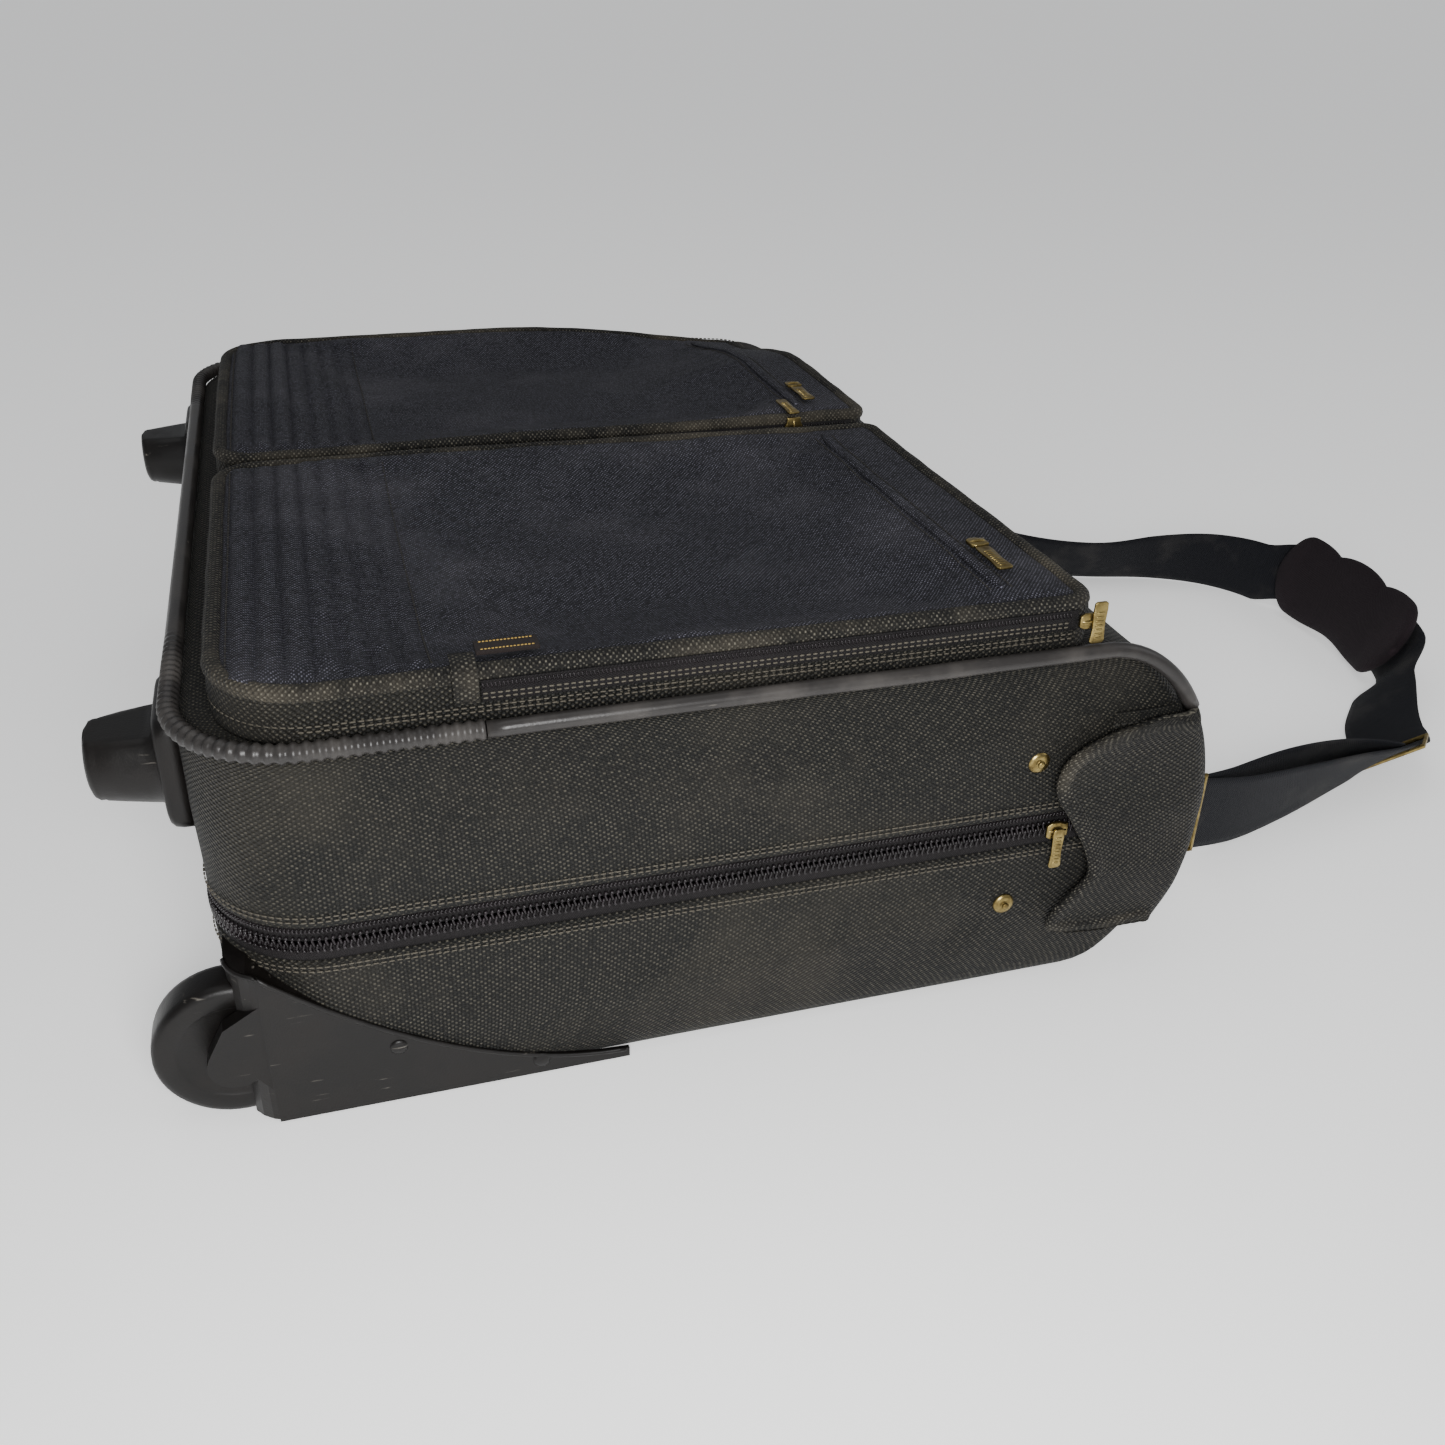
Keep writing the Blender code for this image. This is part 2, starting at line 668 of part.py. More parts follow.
def main_slider():
    """The main zip's slider at the right side's fold end, with its hanging pull."""
    outer = -HALF - ZIP_COIL_PROUD - GAP
    x = (ZIP_SLIDER_AT - ZIP_SLIDER[0] / 2, ZIP_SLIDER_AT + ZIP_SLIDER[0] / 2)
    z = (BACK_DEPTH - ZIP_SLIDER[2] / 2, BACK_DEPTH + ZIP_SLIDER[2] / 2)
    slider = joint_empty("main_slider_axis", (ZIP_SLIDER_AT, outer, BACK_DEPTH))
    y = (outer - ZIP_SLIDER[1], outer)
    place(block("main_slider", x, y, z, 0.0007), BRASS, slider)
    hanging_pull("main_pull", ZIP_SLIDER_AT, y[0], -1, BACK_DEPTH + 0.002, ZIP_PULL)


# ---------------------------------------------------------------- wheels and feet


def wheels():
    for side, sign in SIDES:
        outer = HALF - WHEEL_INSET
        middle = sign * (outer - WHEEL_WIDE / 2)
        centre = (WHEEL_AT, middle, WHEEL_RADIUS)
        axis = joint_empty(f"{side}_wheel_axis", centre)
        half = WHEEL_WIDE / 2
        bore = AXLE_RADIUS + HUB_CLEAR
        profile = ((bore, half - 0.001), (0.010, half - 0.001), (0.011, half - 0.006), (0.026, half - 0.006),
                   (0.0275, half - 0.0005), (WHEEL_RADIUS - 0.003, half), (WHEEL_RADIUS, half - 0.004),
                   (WHEEL_RADIUS, -half + 0.004), (WHEEL_RADIUS - 0.003, -half), (bore, -half),
                   (bore, half - 0.001))
        wheel = turned(f"{side}_wheel", profile, centre, (0, sign, 0), 32)
        soften(wheel)
        place(wheel, PLASTIC, axis)
        reach = HALF - 0.0005, HALF - HOUSING_DEEP + 0.008
        ends = sorted(sign * r for r in reach)
        place(prism(f"{side}_axle", [circle(WHEEL_AT, WHEEL_RADIUS, AXLE_RADIUS, 14)], *ends, "Y"), STEEL)
        housing(side, sign)


def housing_outline(start, drop=0.0, low=0.0006):
    """The side view of a wheel housing from a start in X, its curved top edge lowered by a drop."""
    line = [(start, low), (HOUSING_LONG, low), (HOUSING_LONG, 0.006 - drop)]
    for k in range(1, 11):
        share = k / 10
        x = HOUSING_LONG - (HOUSING_LONG - start) * share
        reach = min(1.0, (HOUSING_LONG - x) / (HOUSING_LONG - HOUSING_FULL))
        line.append((x, 0.006 + (HOUSING_HIGH - 0.006 - GAP) * reach**1.9 - drop))
    return line


def housing(side, sign):
    """The moulded corner that holds a wheel: a skid along the side, a corner block and a cheek."""
    outer, inner = sign * (HALF + HOUSING_PROUD), sign * (HALF - HOUSING_DEEP + GAP)
    low, high = sorted((outer, sign * (HALF + GAP)))
    skid = prism(f"{side}_wheel_housing", [housing_outline(HOUSING_FULL)], low, high, "Y")
    y0, y1 = sorted((outer, inner))
    radii = (HOUSING_CORNER, 0.001, 0.001, 0.004) if sign < 0 else (0.004, 0.001, 0.001, HOUSING_CORNER)
    plan = rounded(0.004, NOTCH_LONG - GAP, y0, y1, radii, 6)
    corner = prism(f"{side}_corner_block", [plan], 0.0006, HOUSING_HIGH - GAP)
    keep = prism(f"{side}_corner_top", [housing_outline(NOTCH_START)], y0 - 0.01, y1 + 0.01, "Y")
    weld_on(skid, common(corner, keep))
    cheek_y = sorted((sign * (HALF + 0.0005), sign * (HALF - WHEEL_INSET + 0.0015)))
    cheek = [(0.02, 0.016), (0.02, 0.072), (0.0, 0.060)]
    for k in range(9):
        turn = math.radians(150 + k * 20)
        cheek.append((WHEEL_AT + 0.013 * math.cos(turn), WHEEL_RADIUS + 0.013 * math.sin(turn)))
    weld_on(skid, prism(f"{side}_cheek", [cheek], *cheek_y, "Y"))
    well = WHEEL_RADIUS + WELL_CLEAR
    well_y = sorted((sign * (HALF - WHEEL_INSET + 0.001), sign * (HALF - WHEEL_INSET - WHEEL_WIDE - 0.001)))
    cut(skid, prism(f"{side}_well", [circle(WHEEL_AT, WHEEL_RADIUS, well, 28)], *well_y, "Y"))
    arm_y = sorted((sign * (HALF - HOUSING_DEEP + 0.004), sign * (HALF - WHEEL_INSET - WHEEL_WIDE - 0.001)))
    arm = [(0.02, 0.018), (0.02, 0.066)]
    for k in range(9):
        turn = math.radians(100 + k * 20)
        arm.append((WHEEL_AT + 0.011 * math.cos(turn), WHEEL_RADIUS + 0.011 * math.sin(turn)))
    weld_on(skid, prism(f"{side}_inner_arm", [arm], *arm_y, "Y"))
    through = sorted((sign * (HALF + 0.0001), sign * (HALF - HOUSING_DEEP + 0.007)))
    hole = circle(WHEEL_AT, WHEEL_RADIUS, AXLE_RADIUS + GAP, 14)
    cut(skid, prism(f"{side}_axle_hole", [hole], *through, "Y"))
    place(skid, PLASTIC)


def feet(lid):
    for side, sign in SIDES:
        y = sign * (HALF - FOOT_INSET)
        thick, wide, high = COLLAR
        x = (-GAP - thick, -GAP)
        z = (FOOT_HEIGHT - high / 2, FOOT_HEIGHT + high / 2)
        collar = block(f"{side}_foot", x, (y - wide / 2, y + wide / 2), z, 0.004)
        reach = FOOT_REACH
        profile = ((0.0, reach), (FOOT_TIP - 0.005, reach), (FOOT_TIP - 0.0015, reach - 0.0015),
                   (FOOT_TIP, reach - 0.005), (FOOT_BASE, thick - 0.002), (0.0, thick - 0.002))
        weld_on(collar, turned(f"{side}_foot_cup", profile, (0, y, FOOT_HEIGHT), (-1, 0, 0), 24))
        place(collar, PLASTIC, lid)


# ---------------------------------------------------------------- the pull-out handle


def sleeve_radius():
    return TUBE_RADIUS + TUBE_CLEAR + SLEEVE_WALL


def tube_height():
    return WALL + GAP + BOARD_THICK + GAP + sleeve_radius()


def bezel_low():
    return tube_height() - BEZEL[2] / 2


def handle():
    z = tube_height()
    bezel_end = BEZEL_START + BEZEL[0]
    half = BEZEL[1] / 2
    low = bezel_low()
    bezel = block("handle_bezel", (BEZEL_START, bezel_end), (-half, half), (low, low + BEZEL[2]), 0.002)
    slide = joint_empty("handle_axis", (bezel_end, 0, z))
    for side, sign in SIDES:
        y = sign * TUBE_SPREAD
        bore = TUBE_RADIUS + TUBE_CLEAR
        hole = [circle(y, z, bore, 18)]
        cut(bezel, prism(f"{side}_bezel_hole", hole, BEZEL_START - 0.01, bezel_end + 0.01, "X"))
        ring = [circle(y, z, sleeve_radius(), 18), circle(y, z, bore, 18)]
        place(prism(f"{side}_handle_sleeve", ring, SLEEVE_START, BEZEL_START - GAP, "X"), STEEL)
        ring = [circle(y, z, TUBE_RADIUS, 18), circle(y, z, TUBE_RADIUS - TUBE_WALL, 18)]
        place(prism(f"{side}_handle_tube", ring, TUBE_START, bezel_end + GAP, "X"), STEEL, slide)
    place(bezel, PLASTIC)
    start = bezel_end + 2 * GAP
    end = start + GRIP[0]
    y = (-GRIP[1] / 2, GRIP[1] / 2)
    grip = block("handle_grip", (start, end), y, (z - GRIP[2] / 2, z + GRIP[2] / 2), 0.005)
    clear = 0.0005
    by, bz = BUTTON[1] / 2 + clear, BUTTON[2] / 2 + clear
    deep = BUTTON[0] + BUTTON_TRAVEL + clear
    cut(grip, block("button_recess", (end - deep + 0.001, end + 0.01), (-by, by), (z - bz, z + bz)))
    place(grip, PLASTIC, slide)
    press = joint_empty("button_axis", (end, 0, z))
    x = (end + 0.001 - BUTTON[0], end + 0.001)
    button = block("release_button", x, (clear - by, by - clear), (z + clear - bz, z + bz - clear), 0.001)
    place(button, PLASTIC, press)


# ---------------------------------------------------------------- the shoulder strap


def strap_stations(points, between=3):
    """The lower edge, along, across and face axes at points (X from the fold end, Y, lift, outward lean)."""
    line = smooth([(CASE_LENGTH + x, y, lift) for x, y, lift, _ in points], between)
    leans = smooth([(lean, 0, 0) for *_, lean in points], between)
    found = []
    for k, at in enumerate(line):
        along = line[min(k + 1, len(line) - 1)] - line[max(k - 1, 0)]
        along = Vector((along.x, along.y, 0)).normalized()
        out = Vector((along.y, -along.x, 0))
        lean = math.radians(leans[k].x)
        across = math.sin(lean) * out + math.cos(lean) * Vector((0, 0, 1))
        face = math.cos(lean) * out - math.sin(lean) * Vector((0, 0, 1))
        found.append((at, along, across, face))
    return found


def ribbon(name, points, width, thick, finish, between=3):
    """A run of the strap as one solid band, in triangles so that its twisted faces are exact."""
    rings = []
    for at, _, across, face in strap_stations(points, between):
        lean_drop = abs(face.z) * thick / 2
        centre = at + across * width / 2 + Vector((0, 0, lean_drop + 0.0008))
        corners = ((-1, -1), (1, -1), (1, 1), (-1, 1))
        rings.append([centre + across * (a * width / 2) + face * (f * thick / 2) for a, f in corners])
    obj = outward(loft(name, rings))
    work = bmesh.new()
    work.from_mesh(obj.data)
    bmesh.ops.triangulate(work, faces=work.faces)
    work.to_mesh(obj.data)
    work.free()
    soften(obj, 50)
    return place(obj, finish)


END_RUN = [
    (0.0655, -0.240, 0.0132, 0), (0.100, -0.230, 0.006, 6), (0.150, -0.211, 0.001, 16),
    (0.196, -0.193, 0.000, 28), (0.228, -0.179, 0.000, 40),
]
NEAR_RUN = [
    (0.2460, -0.1620, 0.000, 58), (0.256, -0.142, 0.000, 64), (0.272, -0.118, 0.000, 60),
    (0.298, -0.092, 0.000, 46), (0.322, -0.072, 0.000, 34),
]
PAD_RUN = [
    (0.3235, -0.0685, 0.000, 30), (0.337, -0.040, 0.000, 24), (0.345, -0.002, 0.000, 18),
    (0.347, 0.038, 0.000, 15), (0.343, 0.080, 0.000, 15),
]
FAR_RUN = [
    (0.3425, 0.0835, 0.000, 12), (0.333, 0.114, 0.000, 2), (0.310, 0.141, 0.000, -10),
    (0.272, 0.162, 0.000, -22), (0.220, 0.177, 0.000, -32), (0.160, 0.198, 0.002, -26),
    (0.105, 0.226, 0.008, -8), (0.0655, 0.240, 0.0132, 0),
]


def strap():
    ribbon("strap_end", END_RUN, WEBBING, WEBBING_THICK, WEB)
    ribbon("strap_webbing", NEAR_RUN, WEBBING, WEBBING_THICK, WEB)
    ribbon("strap_pad", PAD_RUN, PAD_WIDE, PAD_THICK, PADDING)
    ribbon("strap_long_end", FAR_RUN, WEBBING, WEBBING_THICK, WEB)
    at, along, across, face = strap_stations([END_RUN[-1], NEAR_RUN[0]], 2)[1]
    centre = at + across * (WEBBING / 2) + Vector((0, 0, 0.003))
    corners = []
    for a, b in ((-1, -1), (-1, 1), (1, 1), (1, -1)):
        corners.append(centre + across * (a * (WEBBING / 2 + 0.0015)) + along * (b * 0.0085))
    place(tube("strap_adjuster", corners, RING_WIRE, closed=True), BRASS)
    for side, sign in SIDES:
        strap_end_fittings(side, sign)


def strap_end_fittings(side, sign):
    """The webbing tab on the fold, its ring, and the snap hook with its eye."""
    y = sign * RING_SPREAD
    start = fold_end(RING_HEIGHT + TAB_HIGH / 2) + COVER_CLEAR + COVER_THICK + GAP
    bar = start + TAB_BAR
    low, high = RING_HEIGHT - TAB_HIGH / 2, RING_HEIGHT + TAB_HIGH / 2
    tab = rounded(start, start + TAB_LONG, low, high, (0.002, 0.006, 0.006, 0.002), 3)
    hole = circle(bar, RING_HEIGHT, RING_WIRE + 0.0007, 12)
    place(prism(f"{side}_ring_tab", [tab, hole], y - TAB_WIDE / 2, y + TAB_WIDE / 2, "Y"), WEB)
    half = TAB_WIDE / 2 + 0.005
    loop = [(bar, y - half, RING_HEIGHT), (bar, y + half, RING_HEIGHT)]
    for k in range(9):
        turn = math.radians(90 - 22.5 * k)
        loop.append((bar + 0.006 + 0.0185 * math.cos(turn), y + half * math.sin(turn), RING_HEIGHT))
    place(tube(f"{side}_strap_ring", loop, RING_WIRE, closed=True), BRASS)
    ring_far = bar + 0.0245
    middle = ring_far + 0.001
    hook = []
    for k in range(11):
        turn = math.radians(-50 - 28 * k)
        hook.append((middle + 0.0085 * math.cos(turn), y, RING_HEIGHT + 0.0075 * math.sin(turn)))
    stem = middle + 0.0185
    eye = stem + 0.0095
    low, high = RING_HEIGHT - 0.047, RING_HEIGHT + 0.0065
    hook += [(stem - 0.004, y, RING_HEIGHT), (stem, y, RING_HEIGHT), (stem + 0.001, y, high), (eye, y, high),
             (eye, y, low), (stem + 0.001, y, low), (stem + 0.001, y, RING_HEIGHT - 0.0055)]
    place(tube(f"{side}_snap_hook", hook, RING_WIRE), BRASS)


fold = joint_empty("fold_axis", (FOLD_HINGE, 0, BACK_DEPTH))
back_half()
front_half(fold)
main_zip(fold)
fold_cover("fold_cover_back", COVER_BACK_LOW, BACK_DEPTH - GAP)
fold_cover("fold_cover_front", BACK_DEPTH + GAP, COVER_FRONT_HIGH, fold)
side_flaps()
studs(fold)
piping(fold)
pockets(fold)
main_slider()
wheels()
feet(fold)
handle()
strap()
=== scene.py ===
import math

import bmesh
import bpy
import numpy as np
from mathutils import Matrix, Vector, noise


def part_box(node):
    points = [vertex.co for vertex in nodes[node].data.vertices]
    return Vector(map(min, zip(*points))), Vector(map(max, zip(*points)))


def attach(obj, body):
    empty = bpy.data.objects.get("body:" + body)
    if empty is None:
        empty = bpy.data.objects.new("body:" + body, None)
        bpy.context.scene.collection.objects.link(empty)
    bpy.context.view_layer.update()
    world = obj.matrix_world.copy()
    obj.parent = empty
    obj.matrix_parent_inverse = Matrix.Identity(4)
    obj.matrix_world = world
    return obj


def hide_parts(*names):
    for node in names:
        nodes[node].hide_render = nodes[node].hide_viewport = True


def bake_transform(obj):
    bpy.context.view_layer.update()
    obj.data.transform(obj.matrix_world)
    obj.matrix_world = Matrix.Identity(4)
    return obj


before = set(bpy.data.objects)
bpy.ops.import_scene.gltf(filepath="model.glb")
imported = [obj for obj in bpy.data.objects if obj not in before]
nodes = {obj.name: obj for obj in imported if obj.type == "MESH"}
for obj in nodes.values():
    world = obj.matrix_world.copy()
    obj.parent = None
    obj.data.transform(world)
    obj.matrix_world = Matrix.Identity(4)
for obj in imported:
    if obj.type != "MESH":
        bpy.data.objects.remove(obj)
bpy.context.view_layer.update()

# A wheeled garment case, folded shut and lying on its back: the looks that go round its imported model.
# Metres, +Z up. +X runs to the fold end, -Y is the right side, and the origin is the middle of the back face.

# ---------------------------------------------------------------- sizes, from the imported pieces

shell_low, shell_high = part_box("front_shell")
END, TOP = shell_low.x, shell_high.z
HALF = shell_high.y
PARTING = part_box("back_zip")[1].z + 0.0003
FOLD = END + 0.50
FOLD_DEPTH = 0.07
BOTTOM_CORNER = 0.055
POCKET_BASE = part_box("right_pocket")[0].z
POCKET_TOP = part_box("right_pocket")[1].z
SIDES = (("right", -1), ("left", 1))


# ---------------------------------------------------------------- materials


def hex_colour(code):
    """An sRGB hex colour as linear red, green, blue and one."""
    parts = [int(code[k:k + 2], 16) / 255 for k in (0, 2, 4)]
    return (*[p / 12.92 if p <= 0.04045 else ((p + 0.055) / 1.055) ** 2.4 for p in parts], 1.0)


def add(tree, kind, settings=None, inputs=None):
    """Adds a node with its settings and its inputs: each a value, or the output that feeds it."""
    made = tree.nodes.new(kind)
    for name, value in (settings or {}).items():
        setattr(made, name, value)
    for name, value in (inputs or {}).items():
        if isinstance(value, bpy.types.NodeSocket):
            tree.links.new(value, made.inputs[name])
        else:
            made.inputs[name].default_value = value
    return made


def new_material(name, **sockets):
    """A material with its Principled shader, and the even values set on that shader."""
    made = bpy.data.materials.new(name)
    made.use_nodes = True
    shader = made.node_tree.nodes["Principled BSDF"]
    for socket, value in sockets.items():
        shader.inputs[socket.replace("_", " ")].default_value = value
    return made, made.node_tree, shader


def blotches(tree, scale, low, high, detail=5.0):
    """Cloudy patches from 0 to 1, of a size in metres, as an output."""
    where = add(tree, "ShaderNodeTexCoord").outputs["Object"]
    cloud = add(tree, "ShaderNodeTexNoise", {},
                {"Vector": where, "Scale": 1 / scale, "Detail": detail, "Roughness": 0.6})
    return add(tree, "ShaderNodeMapRange", {"clamp": True},
               {"Value": cloud.outputs["Fac"], "From Min": low, "From Max": high}).outputs["Result"]


def mixed(tree, share, first, second):
    """One colour turning into another by a share from 0 to 1."""
    return add(tree, "ShaderNodeMix", {"data_type": "RGBA"}, {0: share, 6: first, 7: second}).outputs[2]


def weave_height(tree, across, along):
    """The crowns of a basket weave, staggered like bricks, from -1 to 1. Spacings are in metres."""
    place = add(tree, "ShaderNodeUVMap", {"uv_map": "cloth"}).outputs["UV"]
    split = add(tree, "ShaderNodeSeparateXYZ", {}, {0: place})
    waves = []
    for axis, pitch in (("X", across), ("Y", along)):
        angle = add(tree, "ShaderNodeMath", {"operation": "MULTIPLY"},
                    {0: split.outputs[axis], 1: 2 * math.pi / pitch})
        waves.append(add(tree, "ShaderNodeMath", {"operation": "COSINE"}, {0: angle.outputs[0]}).outputs[0])
    return add(tree, "ShaderNodeMath", {"operation": "MULTIPLY"}, {0: waves[0], 1: waves[1]}).outputs[0]


def woven(name, shade, crown_highlight, dust, spacing, rough, dusty, crown_highlight_share, depth):
    """Heavy woven nylon: dark yarns with crowns painted paler as dust and a painted highlight; dust in cloudy
    patches.
    """
    made, tree, shader = new_material(name, Sheen_Weight=0.02, Sheen_Roughness=0.5, Specular_IOR_Level=0.22)
    height = weave_height(tree, *spacing)
    # The crown colour on the glinting crowns is a painted highlight over the dark base colour.
    crowns = add(tree, "ShaderNodeMapRange", {"interpolation_type": "SMOOTHSTEP"},
                 {"Value": height, "From Min": 0.0, "From Max": 0.95, "To Max": crown_highlight_share}).outputs[0]
    glint = blotches(tree, 0.002, 0.35, 0.65, 1.0)
    lit = add(tree, "ShaderNodeMath", {"operation": "MULTIPLY"}, {0: crowns, 1: glint}).outputs[0]
    colour = mixed(tree, lit, hex_colour(shade), hex_colour(crown_highlight))
    patches = blotches(tree, 0.09, 0.48, 0.75)
    # This mark mixes in the dust colour: rubbing and dust, and a painted highlight on the pocket fronts' rib
    # crests.
    rub_and_highlight = add(tree, "ShaderNodeAttribute", {"attribute_name": "rub_and_highlight"}).outputs["Fac"]
    amount = add(tree, "ShaderNodeMath", {"operation": "MULTIPLY_ADD", "use_clamp": True},
                 {0: patches, 1: dusty, 2: rub_and_highlight}).outputs[0]
    colour = mixed(tree, amount, colour, hex_colour(dust))
    tree.links.new(colour, shader.inputs["Base Color"])
    roughness = add(tree, "ShaderNodeMapRange", {}, {"Value": crowns, "To Min": rough + 0.1, "To Max": rough})
    tree.links.new(roughness.outputs[0], shader.inputs["Roughness"])
    where = add(tree, "ShaderNodeTexCoord").outputs["Object"]
    fuzz = add(tree, "ShaderNodeTexNoise", {}, {"Vector": where, "Scale": 1400.0, "Detail": 2.0})
    both = add(tree, "ShaderNodeMath", {"operation": "MULTIPLY_ADD"},
               {0: fuzz.outputs["Fac"], 1: 0.35, 2: height})
    bump = add(tree, "ShaderNodeBump", {}, {"Strength": 0.9, "Distance": depth, "Height": both.outputs[0]})
    tree.links.new(bump.outputs[0], shader.inputs["Normal"])
    return made


def worn_plastic(name, shade, scuff, rough, chips):
    """Moulded plastic: even and dark, cloudily rubbed, with pale chips and scratches where it drags."""
    made, tree, shader = new_material(name, Specular_IOR_Level=0.3)
    where = add(tree, "ShaderNodeTexCoord").outputs["Object"]
    cloudy = blotches(tree, 0.035, 0.45, 0.8, 6.0)
    scuffed = add(tree, "ShaderNodeMath", {"operation": "MULTIPLY"}, {0: cloudy, 1: 0.35}).outputs[0]
    colour = mixed(tree, scuffed, hex_colour(shade), hex_colour(scuff))
    stretched = add(tree, "ShaderNodeMapping", {}, {"Vector": where, "Scale": (0.25, 1.0, 3.0)}).outputs[0]
    scratch = add(tree, "ShaderNodeTexNoise", {}, {"Vector": stretched, "Scale": 160.0, "Detail": 6.0})
    lines = add(tree, "ShaderNodeMapRange", {},
                {"Value": scratch.outputs["Fac"], "From Min": 0.66, "From Max": 0.74})
    patch = blotches(tree, 0.05, 0.5, 0.68, 3.0)
    marks = add(tree, "ShaderNodeMath", {"operation": "MULTIPLY"}, {0: lines.outputs[0], 1: patch}).outputs[0]
    marks = add(tree, "ShaderNodeMath", {"operation": "MULTIPLY"}, {0: marks, 1: chips}).outputs[0]
    colour = mixed(tree, marks, colour, hex_colour("B9B2A6"))
    tree.links.new(colour, shader.inputs["Base Color"])
    roughness = add(tree, "ShaderNodeMapRange", {}, {"Value": cloudy, "To Min": rough, "To Max": rough + 0.22})
    tree.links.new(roughness.outputs[0], shader.inputs["Roughness"])
    fine = add(tree, "ShaderNodeTexNoise", {}, {"Vector": where, "Scale": 900.0, "Detail": 3.0})
    bump = add(tree, "ShaderNodeBump", {},
               {"Strength": 0.35, "Distance": 0.0002, "Height": fine.outputs["Fac"]})
    tree.links.new(bump.outputs[0], shader.inputs["Normal"])
    return made


def plated(name, shade, worn, rough):
    """Thin plating over cast metal: bright, with dull tarnish and worn spots in the plate."""
    made, tree, shader = new_material(name, Metallic=1.0)
    tarnish = blotches(tree, 0.006, 0.4, 0.7, 6.0)
    tree.links.new(mixed(tree, tarnish, hex_colour(shade), hex_colour(worn)), shader.inputs["Base Color"])
    roughness = add(tree, "ShaderNodeMapRange", {}, {"Value": tarnish, "To Min": rough, "To Max": rough + 0.25})
    tree.links.new(roughness.outputs[0], shader.inputs["Roughness"])
    return made


def ribbed(name, shade, crown_highlight, pitch):
    """Polyester webbing: fine ribs across the band, each a row of dull crowns painted paler as a painted
    highlight.
    """
    made, tree, shader = new_material(name, Sheen_Weight=0.02, Specular_IOR_Level=0.2, Roughness=0.75)
    height = weave_height(tree, 0.0022, pitch)
    # The crown colour along each rib's row is a painted highlight.
    rows = add(tree, "ShaderNodeMapRange", {}, {"Value": height, "From Min": -0.6, "From Max": 1.0}).outputs[0]
    colour = mixed(tree, rows, hex_colour(shade), hex_colour(crown_highlight))
    patches = blotches(tree, 0.05, 0.5, 0.8)
    dust = add(tree, "ShaderNodeMath", {"operation": "MULTIPLY"}, {0: patches, 1: 0.15})
    colour = mixed(tree, dust.outputs[0], colour, hex_colour("7C776F"))
    tree.links.new(colour, shader.inputs["Base Color"])
    bump = add(tree, "ShaderNodeBump", {}, {"Strength": 0.7, "Distance": 0.0003, "Height": height})
    tree.links.new(bump.outputs[0], shader.inputs["Normal"])
    return made


# In the woven and ribbed finishes below, each crown colour is a painted highlight on the yarns' crowns.
# 1680 denier ballistic nylon, basket woven: coarse staggered crowns of 3.4 by 2.7 mm, olive black with dust
NYLON = woven("ballistic_nylon", "080806", "524E44", "38342C", (0.0034, 0.0027), 0.55, 0.35, 0.85, 0.0005)
# The same cloth on the rolled edges, where it is rubbed pale
NYLON_RUBBED = woven("rubbed_ballistic_nylon", "0E0D0B", "69655A", "6A6355", (0.0034, 0.0027),
                     0.65, 0.45, 0.8, 0.0005)
# Finer, navy black nylon on the pocket fronts, matt and flat with a faint purple cast
PANEL = woven("navy_pocket_nylon", "101017", "7A7986", "807D84", (0.0026, 0.0021), 0.6, 0.14, 0.85, 0.0005)
# Woven zip tape: close herringbone that reads as flat purple brown
TAPE = woven("zip_tape", "100D0E", "262022", "332D2E", (0.0016, 0.0012), 0.6, 0.2, 0.5, 0.0002)
# Nylon lining: thin plain taffeta, dark grey
LINING = woven("taffeta_lining", "2A2A2C", "3E3E42", "4A4A4C", (0.0012, 0.0012), 0.5, 0.1, 0.4, 0.0001)
# Polyester webbing with ribs 1.6 mm apart, navy black
WEBBING = ribbed("polyester_webbing", "07080B", "1A1B22", 0.0016)
# Brushed polyester over foam: soft, dark aubergine, with a pale nap at its edges
PAD_CLOTH = woven("brushed_pad_cloth", "1A1317", "2C2227", "3A2F34", (0.0018, 0.0018), 0.8, 0.25, 0.5, 0.0002)
# Vinyl-covered piping: smooth satin black with a rubbed crown
VINYL = worn_plastic("vinyl_piping", "2A2827", "6A6560", 0.3, 0.35)
# Polypropylene corners, feet and wheels: brown black, satin, scuffed where they drag
POLYPROPYLENE = worn_plastic("moulded_polypropylene", "0A0807", "241E1B", 0.38, 0.55)
# Nylon coil: hard glossy monofilament, purple black
COIL = worn_plastic("nylon_zip_coil", "171315", "3A3236", 0.22, 0.1)
# Brass-plated zinc: warm yellow with brown tarnish
BRASS = plated("brass_plated_zinc", "9C8A58", "5E4F2E", 0.26)
# Nickel-plated steel tube and pins
STEEL = plated("nickel_plated_steel", "B9B9B6", "8A8884", 0.2)
# Spun polyester thread, beige with dust
THREAD = new_material("polyester_thread", Base_Color=hex_colour("4E493F"), Roughness=0.85)[0]
DARK_THREAD = new_material("dark_polyester_thread", Base_Color=hex_colour("2A2824"), Roughness=0.85)[0]
# Extruded polypropylene board, matt grey
BOARD = worn_plastic("extruded_board", "5A5A5A", "6A6A6A", 0.6, 0.1)
# Woven damask label, brown black, with a plain gold edge
LABEL = woven("damask_label", "1E1817", "3A302A", "4A4038", (0.0008, 0.0008), 0.6, 0.1, 0.5, 0.0001)
GOLD_THREAD = new_material("gold_thread", Base_Color=hex_colour("A58742"), Roughness=0.5, Metallic=0.3)[0]


# ---------------------------------------------------------------- shapes


def mesh_object(name, points, faces, finish, smooth=True):
    """A piece from its points and faces, in the scene, with its finish."""
    mesh = bpy.data.meshes.new(name)
    mesh.from_pydata(np.asarray(points, float).tolist(), [], faces)
    obj = bpy.data.objects.new(name, mesh)
    bpy.context.scene.collection.objects.link(obj)
    mesh.materials.append(finish)
    if smooth:
        mesh.shade_smooth()
    return obj


